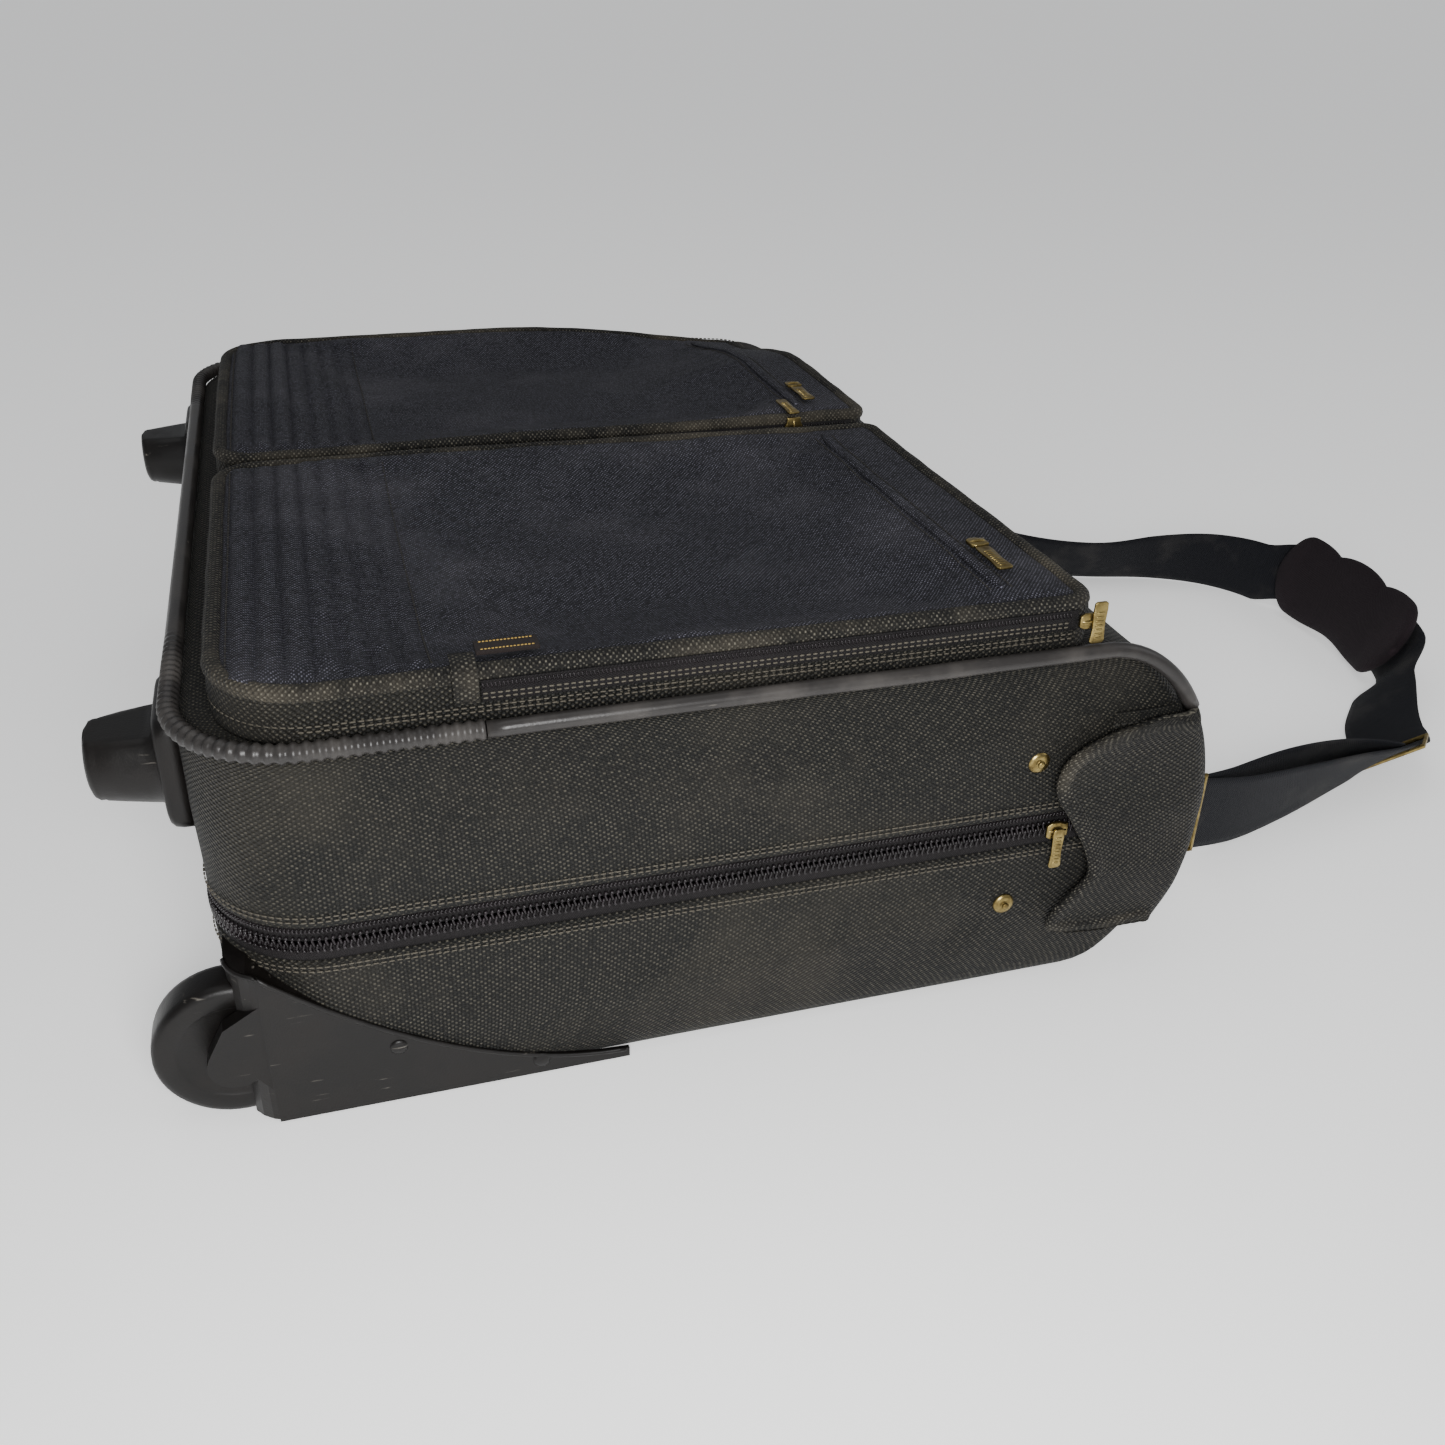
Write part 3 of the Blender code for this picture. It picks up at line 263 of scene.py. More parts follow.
def lay_cloth(obj):
    """Gives each face its place on flat cloth, in metres, seen along whichever axis it faces most."""
    mesh = obj.data
    layer = mesh.uv_layers.get("cloth") or mesh.uv_layers.new(name="cloth")
    points = np.empty(len(mesh.vertices) * 3)
    mesh.vertices.foreach_get("co", points)
    points = points.reshape(-1, 3)
    corners = np.empty(len(mesh.loops), int)
    mesh.loops.foreach_get("vertex_index", corners)
    sizes = np.empty(len(mesh.polygons), int)
    mesh.polygons.foreach_get("loop_total", sizes)
    normals = np.empty(len(mesh.polygons) * 3)
    mesh.polygons.foreach_get("normal", normals)
    facing = np.repeat(np.argmax(np.abs(normals.reshape(-1, 3)), axis=1), sizes)
    at = points[corners]
    flat = np.where((facing == 0)[:, None], at[:, [1, 2]], np.where((facing == 1)[:, None], at[:, [0, 2]],
                                                                    at[:, [0, 1]]))
    layer.data.foreach_set("uv", flat.ravel())
    return obj


def grid(name, rows, finish, closed=False, flip=False, ends=False):
    """A skin through rows of equal count. closed joins each row's ends, ends caps the first and last rows.

    The cloth's place runs along the rows and across them in metres."""
    rows = np.asarray(rows, float)
    count, wide = rows.shape[:2]
    span = wide if closed else wide - 1
    r, k = np.meshgrid(np.arange(count - 1), np.arange(span), indexing="ij")
    after = (k + 1) % wide
    below, above = r * wide, (r + 1) * wide
    quads = np.stack([below + k, below + after, above + after, above + k], -1).reshape(-1, 4)
    if flip:
        quads = quads[:, ::-1]
    faces = quads.tolist()
    if ends:
        first, last = list(range(wide)), list(range((count - 1) * wide, count * wide))
        faces += [first if flip else first[::-1], last[::-1] if flip else last]
    obj = mesh_object(name, rows.reshape(-1, 3), faces, finish)
    layer = obj.data.uv_layers.new(name="cloth")
    around = np.linalg.norm(np.diff(rows, axis=1, append=rows[:, :1]), axis=2).mean(0)
    u = np.concatenate([[0], np.cumsum(around)])
    v = np.concatenate([[0], np.cumsum(np.linalg.norm(np.diff(rows, axis=0), axis=2).mean(1))])
    corner_u = np.stack([u[k], u[k + 1], u[k + 1], u[k]], -1).reshape(-1, 4)
    corner_v = np.stack([v[r], v[r], v[r + 1], v[r + 1]], -1).reshape(-1, 4)
    if flip:
        corner_u, corner_v = corner_u[:, ::-1], corner_v[:, ::-1]
    flat = np.stack([corner_u, corner_v], -1).reshape(-1, 2)
    if ends:
        flat = np.concatenate([flat, np.zeros((2 * wide, 2))])
    layer.data.foreach_set("uv", flat.ravel())
    return obj


def joined(name, objects):
    """Several pieces as one object."""
    points, faces, finishes, slots, smooth, uvs = [], [], [], [], [], []
    start = 0
    for obj in objects:
        mesh, turn = obj.data, obj.matrix_world
        points += [turn @ v.co for v in mesh.vertices]
        places = []
        for finish in mesh.materials:
            if finish not in finishes:
                finishes.append(finish)
            places.append(finishes.index(finish))
        layer = mesh.uv_layers.get("cloth")
        for face in mesh.polygons:
            faces.append([start + v for v in face.vertices])
            slots.append(places[face.material_index])
            smooth.append(face.use_smooth)
            for loop in face.loop_indices:
                uvs.extend(layer.data[loop].uv if layer else (0.0, 0.0))
        start += len(mesh.vertices)
        bpy.data.objects.remove(obj)
    made = mesh_object(name, points, faces, finishes[0])
    for finish in finishes[1:]:
        made.data.materials.append(finish)
    made.data.polygons.foreach_set("material_index", slots)
    made.data.polygons.foreach_set("use_smooth", smooth)
    made.data.uv_layers.new(name="cloth").data.foreach_set("uv", uvs)
    return made


def solid_wall(obj, thickness, inside=None, offset=-1.0):
    """Gives an open skin an even thickness, and its inner face another finish if one is named."""
    wall = obj.modifiers.new("thickness", "SOLIDIFY")
    wall.thickness = thickness
    wall.offset = offset
    wall.use_quality_normals = True
    if inside:
        obj.data.materials.append(inside)
        wall.material_offset = 1
    return obj


def applied(obj):
    """The piece with its modifiers made part of its mesh."""
    graph = bpy.context.evaluated_depsgraph_get()
    shaped = obj.evaluated_get(graph)
    mesh = bpy.data.meshes.new_from_object(shaped, preserve_all_data_layers=True, depsgraph=graph)
    obj.modifiers.clear()
    obj.data = mesh
    return obj


def frames_along(line, up=(0, 0, 1), closed=False):
    """Outward and upward unit vectors at each point of a line, both square to it."""
    line = np.asarray(line, float)
    if closed:
        along = np.roll(line, -1, 0) - np.roll(line, 1, 0)
    else:
        along = np.gradient(line, axis=0)
    along /= np.linalg.norm(along, axis=1)[:, None]
    up = np.broadcast_to(np.asarray(up, float), line.shape)
    out = np.cross(up, along)
    out /= np.linalg.norm(out, axis=1)[:, None]
    return out, np.cross(along, out)


def sweep(name, line, section, finish, up=(0, 0, 1), closed=False, scale=None, flip=False):
    """A section of (out, up) points carried along a line, with its size following scale."""
    line = np.asarray(line, float)
    out, rise = frames_along(line, up, closed)
    section = np.asarray(section, float)
    size = np.ones(len(line)) if scale is None else np.asarray(scale)
    rows = line[:, None] + size[:, None, None] * (out[:, None] * section[None, :, :1]
                                                  + rise[:, None] * section[None, :, 1:])
    if closed:
        rows = np.concatenate([rows, rows[:1]])
    return grid(name, rows, finish, closed=True, flip=flip, ends=not closed)


def disc(radius, steps):
    """The points of a round section."""
    turns = np.linspace(0, 2 * np.pi, steps, endpoint=False)
    return np.stack([radius * np.cos(turns), radius * np.sin(turns)], -1)


def copies(name, shape, places, finish):
    """Many copies of one small shape, each at an origin with its own three axes."""
    points, faces = shape
    points = np.asarray(points, float)
    origins = np.array([p[0] for p in places])
    axes = np.array([p[1:] for p in places])
    world = origins[:, None] + np.einsum("pk,nkj->npj", points, axes)
    count = len(points)
    everything = [[n * count + v for v in face] for n in range(len(places)) for face in faces]
    return mesh_object(name, world.reshape(-1, 3), everything, finish)


def bar_shape(long, wide, high, sides, taper):
    """A small bar with tapered ends, along its own first axis."""
    turns = np.linspace(0, 2 * np.pi, sides, endpoint=False)
    points = [(-long / 2, 0, 0)]
    for x in (-long / 2 * taper, long / 2 * taper):
        points += [(x, wide / 2 * math.cos(t), high / 2 * math.sin(t)) for t in turns]
    points.append((long / 2, 0, 0))
    faces = []
    for k in range(sides):
        after = (k + 1) % sides
        faces.append([0, 1 + after, 1 + k])
        faces.append([1 + k, 1 + after, 1 + sides + after, 1 + sides + k])
        faces.append([1 + sides + k, 1 + sides + after, 1 + 2 * sides])
    return points, faces


def even_steps(line, pitch, start=0.0):
    """Points an even pitch apart along a line, with the line's direction there."""
    line = np.asarray(line, float)
    lengths = np.linalg.norm(np.diff(line, axis=0), axis=1)
    run = np.concatenate([[0], np.cumsum(lengths)])
    at = np.arange(start + pitch / 2, run[-1], pitch)
    points = np.stack([np.interp(at, run, line[:, k]) for k in range(3)], -1)
    ahead = np.stack([np.interp(at + pitch * 0.1, run, line[:, k]) for k in range(3)], -1)
    behind = np.stack([np.interp(at - pitch * 0.1, run, line[:, k]) for k in range(3)], -1)
    along = ahead - behind
    return points, along / np.linalg.norm(along, axis=1)[:, None]


def stitches(name, line, face, finish=THREAD, pitch=0.0036, long=0.0028):
    """A row of lock stitches that lie on a surface whose outward directions are given along the line."""
    points, along = even_steps(line, pitch)
    line = np.asarray(line, float)
    face = np.broadcast_to(np.asarray(face, float), line.shape)
    run = np.concatenate([[0], np.cumsum(np.linalg.norm(np.diff(line, axis=0), axis=1))])
    at = (np.arange(len(points)) + 0.5) * pitch
    out = np.stack([np.interp(at, run, face[:, k]) for k in range(3)], -1)
    out /= np.linalg.norm(out, axis=1)[:, None]
    places = [(p, a, np.cross(o, a), o) for p, a, o in zip(points, along, out)]
    return copies(name, bar_shape(long, 0.0009, 0.0007, 5, 0.7), places, finish)


def rounded_line(x0, x1, y0, y1, radii, nx, ny, nc):
    """A rounded rectangle from the fold end's right corner along the right side and round the bottom end.

    radii are at the right fold, right bottom, left bottom and left fold corners."""
    corners = ((x1, y0, 0), (x0, y0, -90), (x0, y1, -180), (x1, y1, -270))
    between = (nx, ny, nx, ny)
    points = []
    for k, ((cx, cy, start), radius) in enumerate(zip(corners, radii)):
        mx = cx + radius * (1 if cx == x0 else -1)
        my = cy + radius * (1 if cy == y0 else -1)
        for s in range(nc + 1):
            turn = math.radians(start - 90 * s / nc)
            points.append((mx + radius * math.cos(turn), my + radius * math.sin(turn)))
        nxt, next_radius = corners[(k + 1) % 4], radii[(k + 1) % 4]
        turn = math.radians(start - 90)
        ox = nxt[0] + next_radius * (1 if nxt[0] == x0 else -1) + next_radius * math.cos(turn)
        oy = nxt[1] + next_radius * (1 if nxt[1] == y0 else -1) + next_radius * math.sin(turn)
        last = points[-1]
        for s in range(1, between[k]):
            share = s / between[k]
            points.append((last[0] + (ox - last[0]) * share, last[1] + (oy - last[1]) * share))
    return np.array(points)


def wander(x, y, z, size, seed=0.0):
    """Smooth, even wandering between about -1 and 1 over distances of a size in metres."""
    return noise.noise(Vector((x / size + seed, y / size - seed, z / size + 2 * seed)))


def rubbed(obj, amount):
    """Marks each place's rubbing and dust, and the painted highlight on rib crests, from a function of its
    position.
    """
    rub_and_highlight = obj.data.attributes.new("rub_and_highlight", "FLOAT", "POINT")
    rub_and_highlight.data.foreach_set("value", [amount(*vertex.co) for vertex in obj.data.vertices])


def ease(value, low, high):
    """A smooth step from 0 to 1 between two values."""
    share = min(1.0, max(0.0, (value - low) / (high - low)))
    return share * share * (3 - 2 * share)


def slumped(obj):
    """Lets the slack far corner of the front half sink towards the fold, with all that is sewn to it."""
    for vertex in obj.data.vertices:
        x, y, z = vertex.co
        corner = ease(x, 0.02, FOLD - 0.01) * ease(y, 0.12, HALF)
        vertex.co.z = z - 0.014 * corner * ease(z, PARTING + 0.01, TOP - 0.01)


def finish_piece(obj, body, slot, *stands_for):
    """Puts a made piece on its body and hides the pieces that it stands for; slot is not used."""
    if body == "front_half":
        slumped(obj)
    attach(obj, body)
    if stands_for:
        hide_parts(*stands_for)


# ---------------------------------------------------------------- the two soft halves


def fold_end(z):
    """Where the rounded fold end is at a height."""
    depth = TOP - PARTING if z > PARTING else PARTING
    share = min(1.0, abs(z - PARTING) / depth)
    return FOLD - FOLD_DEPTH * (1 - math.sqrt(1 - share * share))


def bulge(x, y, z):
    """How far the padded cloth walls stand out at a place, with slow creases."""
    middle = min(abs(z - PARTING) - 0.010, TOP - z if z > PARTING else z) / 0.045
    tuck = max(0.0, min(1.0, middle))
    along = min(1.0, max(0.0, (x - END) / 0.05)) * min(1.0, max(0.0, (FOLD - 0.07 - x) / 0.06))
    slow = 0.0022 * wander(x, y, z, 0.11, 3.1) + 0.0010 * wander(x, y, z, 0.035, 7.7)
    if abs(y) > HALF - 0.03:
        slow += 0.0016 * math.exp(-((x - FOLD + 0.13) / 0.02) ** 2) * wander(x, 0, z, 0.03, 1.0)
        return (0.0018 + slow) * tuck * (0.25 + 0.75 * along)
    bottom = 0.0045 * math.cos(min(1.0, abs(y) / HALF) * math.pi / 2) if x < 0 else 0.001
    foot = min(1.0, abs(abs(y) - 0.222) / 0.05) if x < 0 else 1.0
    return (bottom + slow) * tuck * foot


def wall_ring(z, face, edge, inset=0.0):
    """The case's outline at a height, drawn in where the wall meets a face and pushed out by its padding."""
    reach = abs(face - z)
    share = max(0.0, 1 - reach / edge)
    inset += edge * (1 - math.sqrt(1 - share * share))
    corner = max(0.002, BOTTOM_CORNER - inset)
    fold = max(0.002, 0.012 - inset * 0.5)
    flat = rounded_line(END + inset, fold_end(z) - inset * 0.3, -HALF + inset, HALF - inset,
                        (fold, corner, corner, fold), 90, 120, 14)
    out = frames_along(np.column_stack([flat, np.zeros(len(flat))]), (0, 0, 1), True)[0]
    push = np.array([0.0 if inset > edge else bulge(x, y, z) for x, y in flat])
    placed = np.column_stack([flat, np.full(len(flat), z)])
    return placed + out * push[:, None]


def half_case(name, rim, face, edge, insets):
    """One soft half: its wall from the zip to the face, and the face itself."""
    turn_at = face - edge if face > rim else face + edge
    heights = list(np.linspace(rim, turn_at, 24))
    heights += [turn_at + (face - turn_at) * math.sin(math.radians(15 * k)) for k in range(1, 7)]
    rings = [wall_ring(z, face, edge) for z in heights]
    rings += [wall_ring(face, face, edge, inset) for inset in insets]
    return grid(name, rings, NYLON, closed=True, flip=face > rim)


def outward(obj, last_ring=0):
    """Turns a piece's faces outwards, once the hole inside a last ring of that many points is closed."""
    work = bmesh.new()
    work.from_mesh(obj.data)
    work.verts.ensure_lookup_table()
    if last_ring:
        work.faces.new(work.verts[-last_ring:])
    bmesh.ops.recalc_face_normals(work, faces=work.faces)
    work.to_mesh(obj.data)
    work.free()
    return obj


def rounded_edges(obj, width):
    """Rounds a hard piece's edges, and keeps its flats flat."""
    obj.data.set_sharp_from_angle(angle=math.radians(40))
    edge = obj.modifiers.new("rounded_edges", "BEVEL")
    edge.width = width
    edge.segments = 3
    edge.limit_method = "ANGLE"
    edge.harden_normals = True
    return applied(obj)


def slab(name, outline, low, high, axis, finish, bevel=0.0):
    """A flat outline given thickness: along Y it is in X and Z, along X in Y and Z, along Z in X and Y."""
    order = {"X": (2, 0, 1), "Y": (0, 2, 1), "Z": (0, 1, 2)}[axis]
    rows = [[[(a, b, level)[order[k]] for k in range(3)] for a, b in outline] for level in (low, high)]
    obj = outward(grid(name, rows, finish, closed=True, ends=True))
    if bevel:
        return rounded_edges(obj, bevel)
    obj.data.set_sharp_from_angle(angle=math.radians(40))
    return obj


def cut_out(obj, cutters):
    """Takes closed shapes out of a piece."""
    for cutter in cutters:
        cutter.hide_render = True
        taken = obj.modifiers.new("cut", "BOOLEAN")
        taken.object = cutter
        taken.solver = "EXACT"
    applied(obj)
    for cutter in cutters:
        bpy.data.objects.remove(cutter)
    return obj


HOUSING_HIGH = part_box("right_wheel_housing")[1].z
HOUSING_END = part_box("right_wheel_housing")[1].x


def housing_top(x):
    """The height of a wheel housing's curved top edge."""
    share = min(1.0, max(0.0, (HOUSING_END - x) / (HOUSING_END - END - 0.018)))
    return 0.006 + (HOUSING_HIGH - 0.006) * share**1.9


def soft_halves():
    """Both lined cloth halves, the back one open at its wheel corners and round the handle's bezel."""
    front = half_case("front_case_cloth", PARTING + 0.0095, TOP, 0.006, (0.012, 0.03, 0.07, 0.14))
    count = len(wall_ring(TOP, TOP, 0.006))
    outward(front, count)
    solid_wall(front, 0.0035, LINING)
    finish_piece(front, "front_half", "body_cloth", "front_shell")

    back = half_case("back_case_cloth", PARTING - 0.0095, 0.0, 0.012, (0.018, 0.04, 0.09, 0.15))
    outward(back, count)
    solid_wall(back, 0.0035, LINING)
    applied(back)
    cutters = []
    for side, sign in SIDES:
        line = [(END - 0.03, -0.02), (END + 0.0495, -0.02), (END + 0.0495, housing_top(END + 0.0495) - 0.003)]
        line += [(x, housing_top(x) - 0.003) for x in np.linspace(END + 0.04, END - 0.03, 8)]
        low, high = sorted((sign * (HALF + 0.03), sign * (HALF - 0.0545)))
        cutters.append(slab(f"{side}_corner_cutter", line, low, high, "Y", LINING))
    low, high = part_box("handle_bezel")
    mouth, past_fold, above = low.x - 0.0003, FOLD + 0.02, high.z + 0.001
    opening = [(mouth, -0.01), (past_fold, -0.01), (past_fold, above), (mouth, above)]
    cutters.append(slab("bezel_cutter", opening, low.y - 0.0005, high.y + 0.0005, "Y", LINING))
    cut_out(back, cutters)
    finish_piece(back, "back_half", "body_cloth", "back_shell")


# ---------------------------------------------------------------- the camera and the light


def studio():
    """The camera, three soft lamps, an even pale sky and the floor."""
    lens = bpy.data.cameras.new("camera")
    lens.lens = 34.93
    lens.sensor_width = 36
    camera = bpy.data.objects.new("camera", lens)
    bpy.context.scene.collection.objects.link(camera)
    yaw, pitch, roll = 0.296, 0.518, 0.019
    ahead = Vector((math.sin(yaw) * math.cos(pitch), math.cos(yaw) * math.cos(pitch), -math.sin(pitch)))
    level = Vector((math.cos(yaw), -math.sin(yaw), 0))
    rise = level.cross(ahead)
    right = math.cos(roll) * level + math.sin(roll) * rise
    above = -math.sin(roll) * level + math.cos(roll) * rise
    turn = Matrix((right, above, -ahead)).transposed().to_4x4()
    camera.matrix_world = Matrix.Translation((-0.175, -0.841, 0.505)) @ turn
    bpy.context.scene.camera = camera

    world = bpy.data.worlds.new("studio")
    bpy.context.scene.world = world
    world.use_nodes = True
    sky = world.node_tree.nodes["Background"]
    sky.inputs["Color"].default_value = (0.95, 0.97, 1.0, 1)
    sky.inputs["Strength"].default_value = 0.32
    for name, at, size, power in (("key", (-0.16, -1.0, 0.5), 0.35, 10.5), ("top", (-0.3, 0.1, 2.2), 1.8, 9),
                                  ("far_side", (1.8, -0.6, 1.2), 1.2, 5)):
        lamp = bpy.data.lights.new(name, "AREA")
        lamp.size = size
        lamp.energy = power
        light = bpy.data.objects.new(name, lamp)
        bpy.context.scene.collection.objects.link(light)
        light.location = at
        light.rotation_euler = (Vector((0, 0, 0.1)) - Vector(at)).to_track_quat("-Z", "Y").to_euler()

    paint, _, shader = new_material("pale_floor_paint", Base_Color=hex_colour("F2F2F1"), Roughness=0.9)
    shader.inputs["Emission Color"].default_value = (1, 1, 1, 1)
    shader.inputs["Emission Strength"].default_value = 0.45
    corners = [(x, y, -0.0005) for x, y in ((-8, -8), (20, -8), (20, 20), (-8, 20))]
    floor = mesh_object("studio_floor", corners, [[0, 1, 2, 3]], paint, False)


# ---------------------------------------------------------------- small made shapes


def turned(name, profile, at, axis, finish, steps=28):
    """A turned piece from (radius, height) pairs, tip first, spun round an axis through a point."""
    turn = Vector((0, 0, 1)).rotation_difference(Vector(axis)).to_matrix()
    turns = np.linspace(0, 2 * math.pi, steps, endpoint=False)
    rows = []
    for radius, high in profile:
        ring = [(radius * math.cos(t), radius * math.sin(t), high) for t in turns]
        rows.append([tuple(turn @ Vector(p) + Vector(at)) for p in ring])
    return outward(grid(name, rows, finish, closed=True, ends=True))


def box_axes(node):
    """A piece's middle, and its long, middle and thin directions with their lengths."""
    low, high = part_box(node)
    sizes = sorted(((high[k] - low[k], k) for k in range(3)), reverse=True)
    axes = [Vector([1.0 if k == axis else 0.0 for k in range(3)]) for _, axis in sizes]
    return (low + high) / 2, axes, [size for size, _ in sizes]


def plate(name, node, outline, bevel, thick):
    """A cast plate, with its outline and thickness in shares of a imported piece's three sides."""
    middle, axes, sizes = box_axes(node)
    long, wide, high = (axis * size for axis, size in zip(axes, sizes))
    rows = [[middle + long * a + wide * b + high * level * thick for a, b in outline] for level in (-0.5, 0.5)]
    return rounded_edges(outward(grid(name, rows, BRASS, closed=True, ends=True)), bevel)


SLIDER_OUTLINE = [(-0.5, -0.34), (-0.28, -0.5), (0.1, -0.5), (0.3, -0.38), (0.5, -0.38), (0.5, 0.38),
                  (0.3, 0.38), (0.1, 0.5), (-0.28, 0.5), (-0.5, 0.34)]
PULL_OUTLINE = [(0.5, -0.30), (0.46, -0.44), (0.30, -0.46), (-0.1, -0.40), (-0.44, -0.5), (-0.49, -0.36),
                (-0.5, 0.0), (-0.49, 0.36), (-0.44, 0.5), (-0.1, 0.40), (0.30, 0.46), (0.46, 0.44), (0.5, 0.30)]


def slider_and_pull(zip_word, way):
    """A cast zip slider with its bridge on the open side, and a cast pull with a knurled grip."""
    node = f"{zip_word}_slider"
    middle, axes, sizes = box_axes(node)
    body = plate(f"{zip_word}_slider_body", node, SLIDER_OUTLINE, 0.0005, 0.72)
    bridge = [middle + axes[0] * sizes[0] * 0.42 * math.cos(t) + axes[2] * way * sizes[2] * 0.42 * math.sin(t)
              for t in np.linspace(0, math.pi, 9)]
    arch = sweep(f"{zip_word}_slider_bridge", bridge, disc(0.0008, 8), BRASS, up=axes[1])
    finish_piece(joined(f"{zip_word}_zip_slider", [body, arch]), node, "brass_plate", node)

    node = f"{zip_word}_pull"
    middle, axes, sizes = box_axes(node)
    tab = plate(f"{zip_word}_pull_plate", node, PULL_OUTLINE, 0.0003, 0.8)
    places = []
    for a in np.arange(-0.36, 0.30, 0.0022 / sizes[0]):
        for face in (-1, 1):
            at = middle + axes[0] * sizes[0] * a + axes[2] * (face * sizes[2] * 0.4)
            places.append((at, axes[1], axes[0], axes[2]))
    knurl = copies(f"{zip_word}_pull_grip", bar_shape(sizes[1] * 0.55, 0.0012, 0.0005, 6, 0.8), places, BRASS)
    finish_piece(joined(f"{zip_word}_zip_pull", [tab, knurl]), node, "brass_plate", node)


# ---------------------------------------------------------------- zips, piping and the guard

ZIP_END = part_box("front_zip")[1].x
MAIN_COIL = 0.0030


def case_path(start, level):
    """The case's outline at a height, from the right side round the bottom end to the left side."""
    flat = rounded_line(END, FOLD, -HALF, HALF, (0.012, BOTTOM_CORNER, BOTTOM_CORNER, 0.012), 90, 120, 24)
    kept = [(x, y) for x, y in flat if x < start - 0.001]
    return np.array([(start, -HALF, level), *[(x, y, level) for x, y in kept], (start, HALF, level)])


def coil_row(name, line, out, rise, pitch, long, wide, high, lean, phase=0.0):
    """A row of coil teeth along a line, each across it and leaning, standing out of the tape."""
    points, along = even_steps(line, pitch, phase)
    run = np.concatenate([[0], np.cumsum(np.linalg.norm(np.diff(line, axis=0), axis=1))])
    at = phase + (np.arange(len(points)) + 0.5) * pitch
    outs = np.stack([np.interp(at, run, out[:, k]) for k in range(3)], -1)
    places = []
    for p, a, o in zip(points, along, outs):
        up = np.cross(a, o / np.linalg.norm(o)) * rise
        reach = up * math.cos(lean) + a * math.sin(lean)
        places.append((p, reach, np.cross(o, reach), o))
    return copies(name, bar_shape(long, wide, high, 6, 0.72), places, COIL)


def main_zip():
    """Both sides of the main zip: woven tape, meshed coil, and the braid above it."""
    for word, sign in (("front", 1), ("back", -1)):
        line = case_path(ZIP_END, PARTING)
        out = frames_along(line)[0]
        lift = np.array((0, 0, 1.0))
        near, far = 0.0016 * sign, 0.0112 * sign
        section = [(-0.0022, near), (-0.0008, near), (-0.0008, far), (-0.0022, far)]
        tape = outward(sweep(f"{word}_tape", line, section, TAPE, flip=sign < 0))
        phase = MAIN_COIL / 2 if sign < 0 else 0.0
        teeth = coil_row(f"{word}_teeth", line + lift * 0.0011 * sign + out * 0.0003, out, sign, MAIN_COIL,
                         0.0044, 0.0013, 0.0019, 0.28, phase)
        loops = coil_row(f"{word}_loops", line + lift * 0.0034 * sign + out * 0.0001, out, sign, MAIN_COIL,
                         0.0017, 0.0021, 0.0020, 0.9, phase)
        pieces = [tape, teeth, loops]
        if sign > 0:
            for k, (high, lean) in enumerate(((0.0068, 0.7), (0.0080, -0.7))):
                middle = line + lift * high + out * -0.0003
                pieces.append(coil_row(f"{word}_braid_{k}", middle, out, 1, 0.0019, 0.0019, 0.0011, 0.0014, lean))
        for high in (0.0128, 0.0152):
            seam = line + lift * high * sign + out * 0.0007
            pieces.append(stitches(f"{word}_zip_seam_{high:.4f}", seam, out))
        finish_piece(joined(f"{word}_zip_side", pieces), f"{word}_half", "zip_coil", f"{word}_zip")


def front_piping():
    """Vinyl piping along both sides and down the fold, and the ribbed guard that wraps the bottom end."""
    out = (0.006 + 0.004 + 0.0006) / math.sqrt(2) - 0.006
    for side, sign in SIDES:
        y = sign * (HALF + out)
        line = [(x, y, TOP + out) for x in np.arange(END + 0.1303, FOLD - FOLD_DEPTH, 0.01)]
        for turn in np.radians(np.linspace(4, 51.6, 14)):
            x = FOLD - FOLD_DEPTH + (FOLD_DEPTH + out) * math.sin(turn)
            line.append((x, y, PARTING + (TOP - PARTING + out) * math.cos(turn)))
        line = np.array(line)
        line[:, 1] += [sign * 0.0006 * wander(x, 0, z, 0.05) for x, _, z in line]
        cord = sweep(f"{side}_piping_cord", line, disc(0.004, 14), VINYL, flip=True)
        below = line + np.array((0, -sign * 0.0022, -0.0062))
        seam = stitches(f"{side}_piping_seam", below[:-12], (0, sign, 0), DARK_THREAD)
        piping = joined(f"{side}_front_piping", [outward(cord), seam])
        finish_piece(piping, "front_half", "vinyl", f"{side}_piping")
    out = (0.006 + 0.0046 + 0.0006) / math.sqrt(2) - 0.006
    corner = BOTTOM_CORNER + out
    flat = rounded_line(END - out, FOLD, -HALF - out, HALF + out, (0.01, corner, corner, 0.01), 90, 120, 30)
    stop, level = END + 0.13, TOP + out
    rough = [(x, y, level) for x, y in flat if x < stop]
    line, _ = even_steps([(stop, -HALF - out, level), *rough, (stop, HALF + out, level)], 0.0009)
    run = np.arange(len(line)) * 0.0009
    wrapped = np.clip((0.235 - np.minimum(run, run[-1] - run)) / 0.03, 0, 1)
    swell = 1.0 - 0.05 * wrapped + 0.13 * wrapped * np.sin(2 * math.pi * run / 0.0052)
    guard = outward(sweep("bottom_guard_wrap", line, disc(0.0046, 12), VINYL, scale=swell))
    finish_piece(guard, "front_half", "vinyl", "bottom_guard")


# ---------------------------------------------------------------- the pockets

POCKET_X = (END + 0.016, END + 0.428)
RIB_START, RIB_PITCH, RIBS = END + 0.026, 0.0122, 7
SEAM_X = END + 0.385


def pocket_sides(side):
    """A pocket's two sides along Y, and its corner radii in rounded_line's order."""
    low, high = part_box(f"{side}_pocket")
    radii = (0.016, 0.045, 0.024, 0.012) if side == "right" else (0.012, 0.024, 0.045, 0.016)
    return low.y, high.y, radii


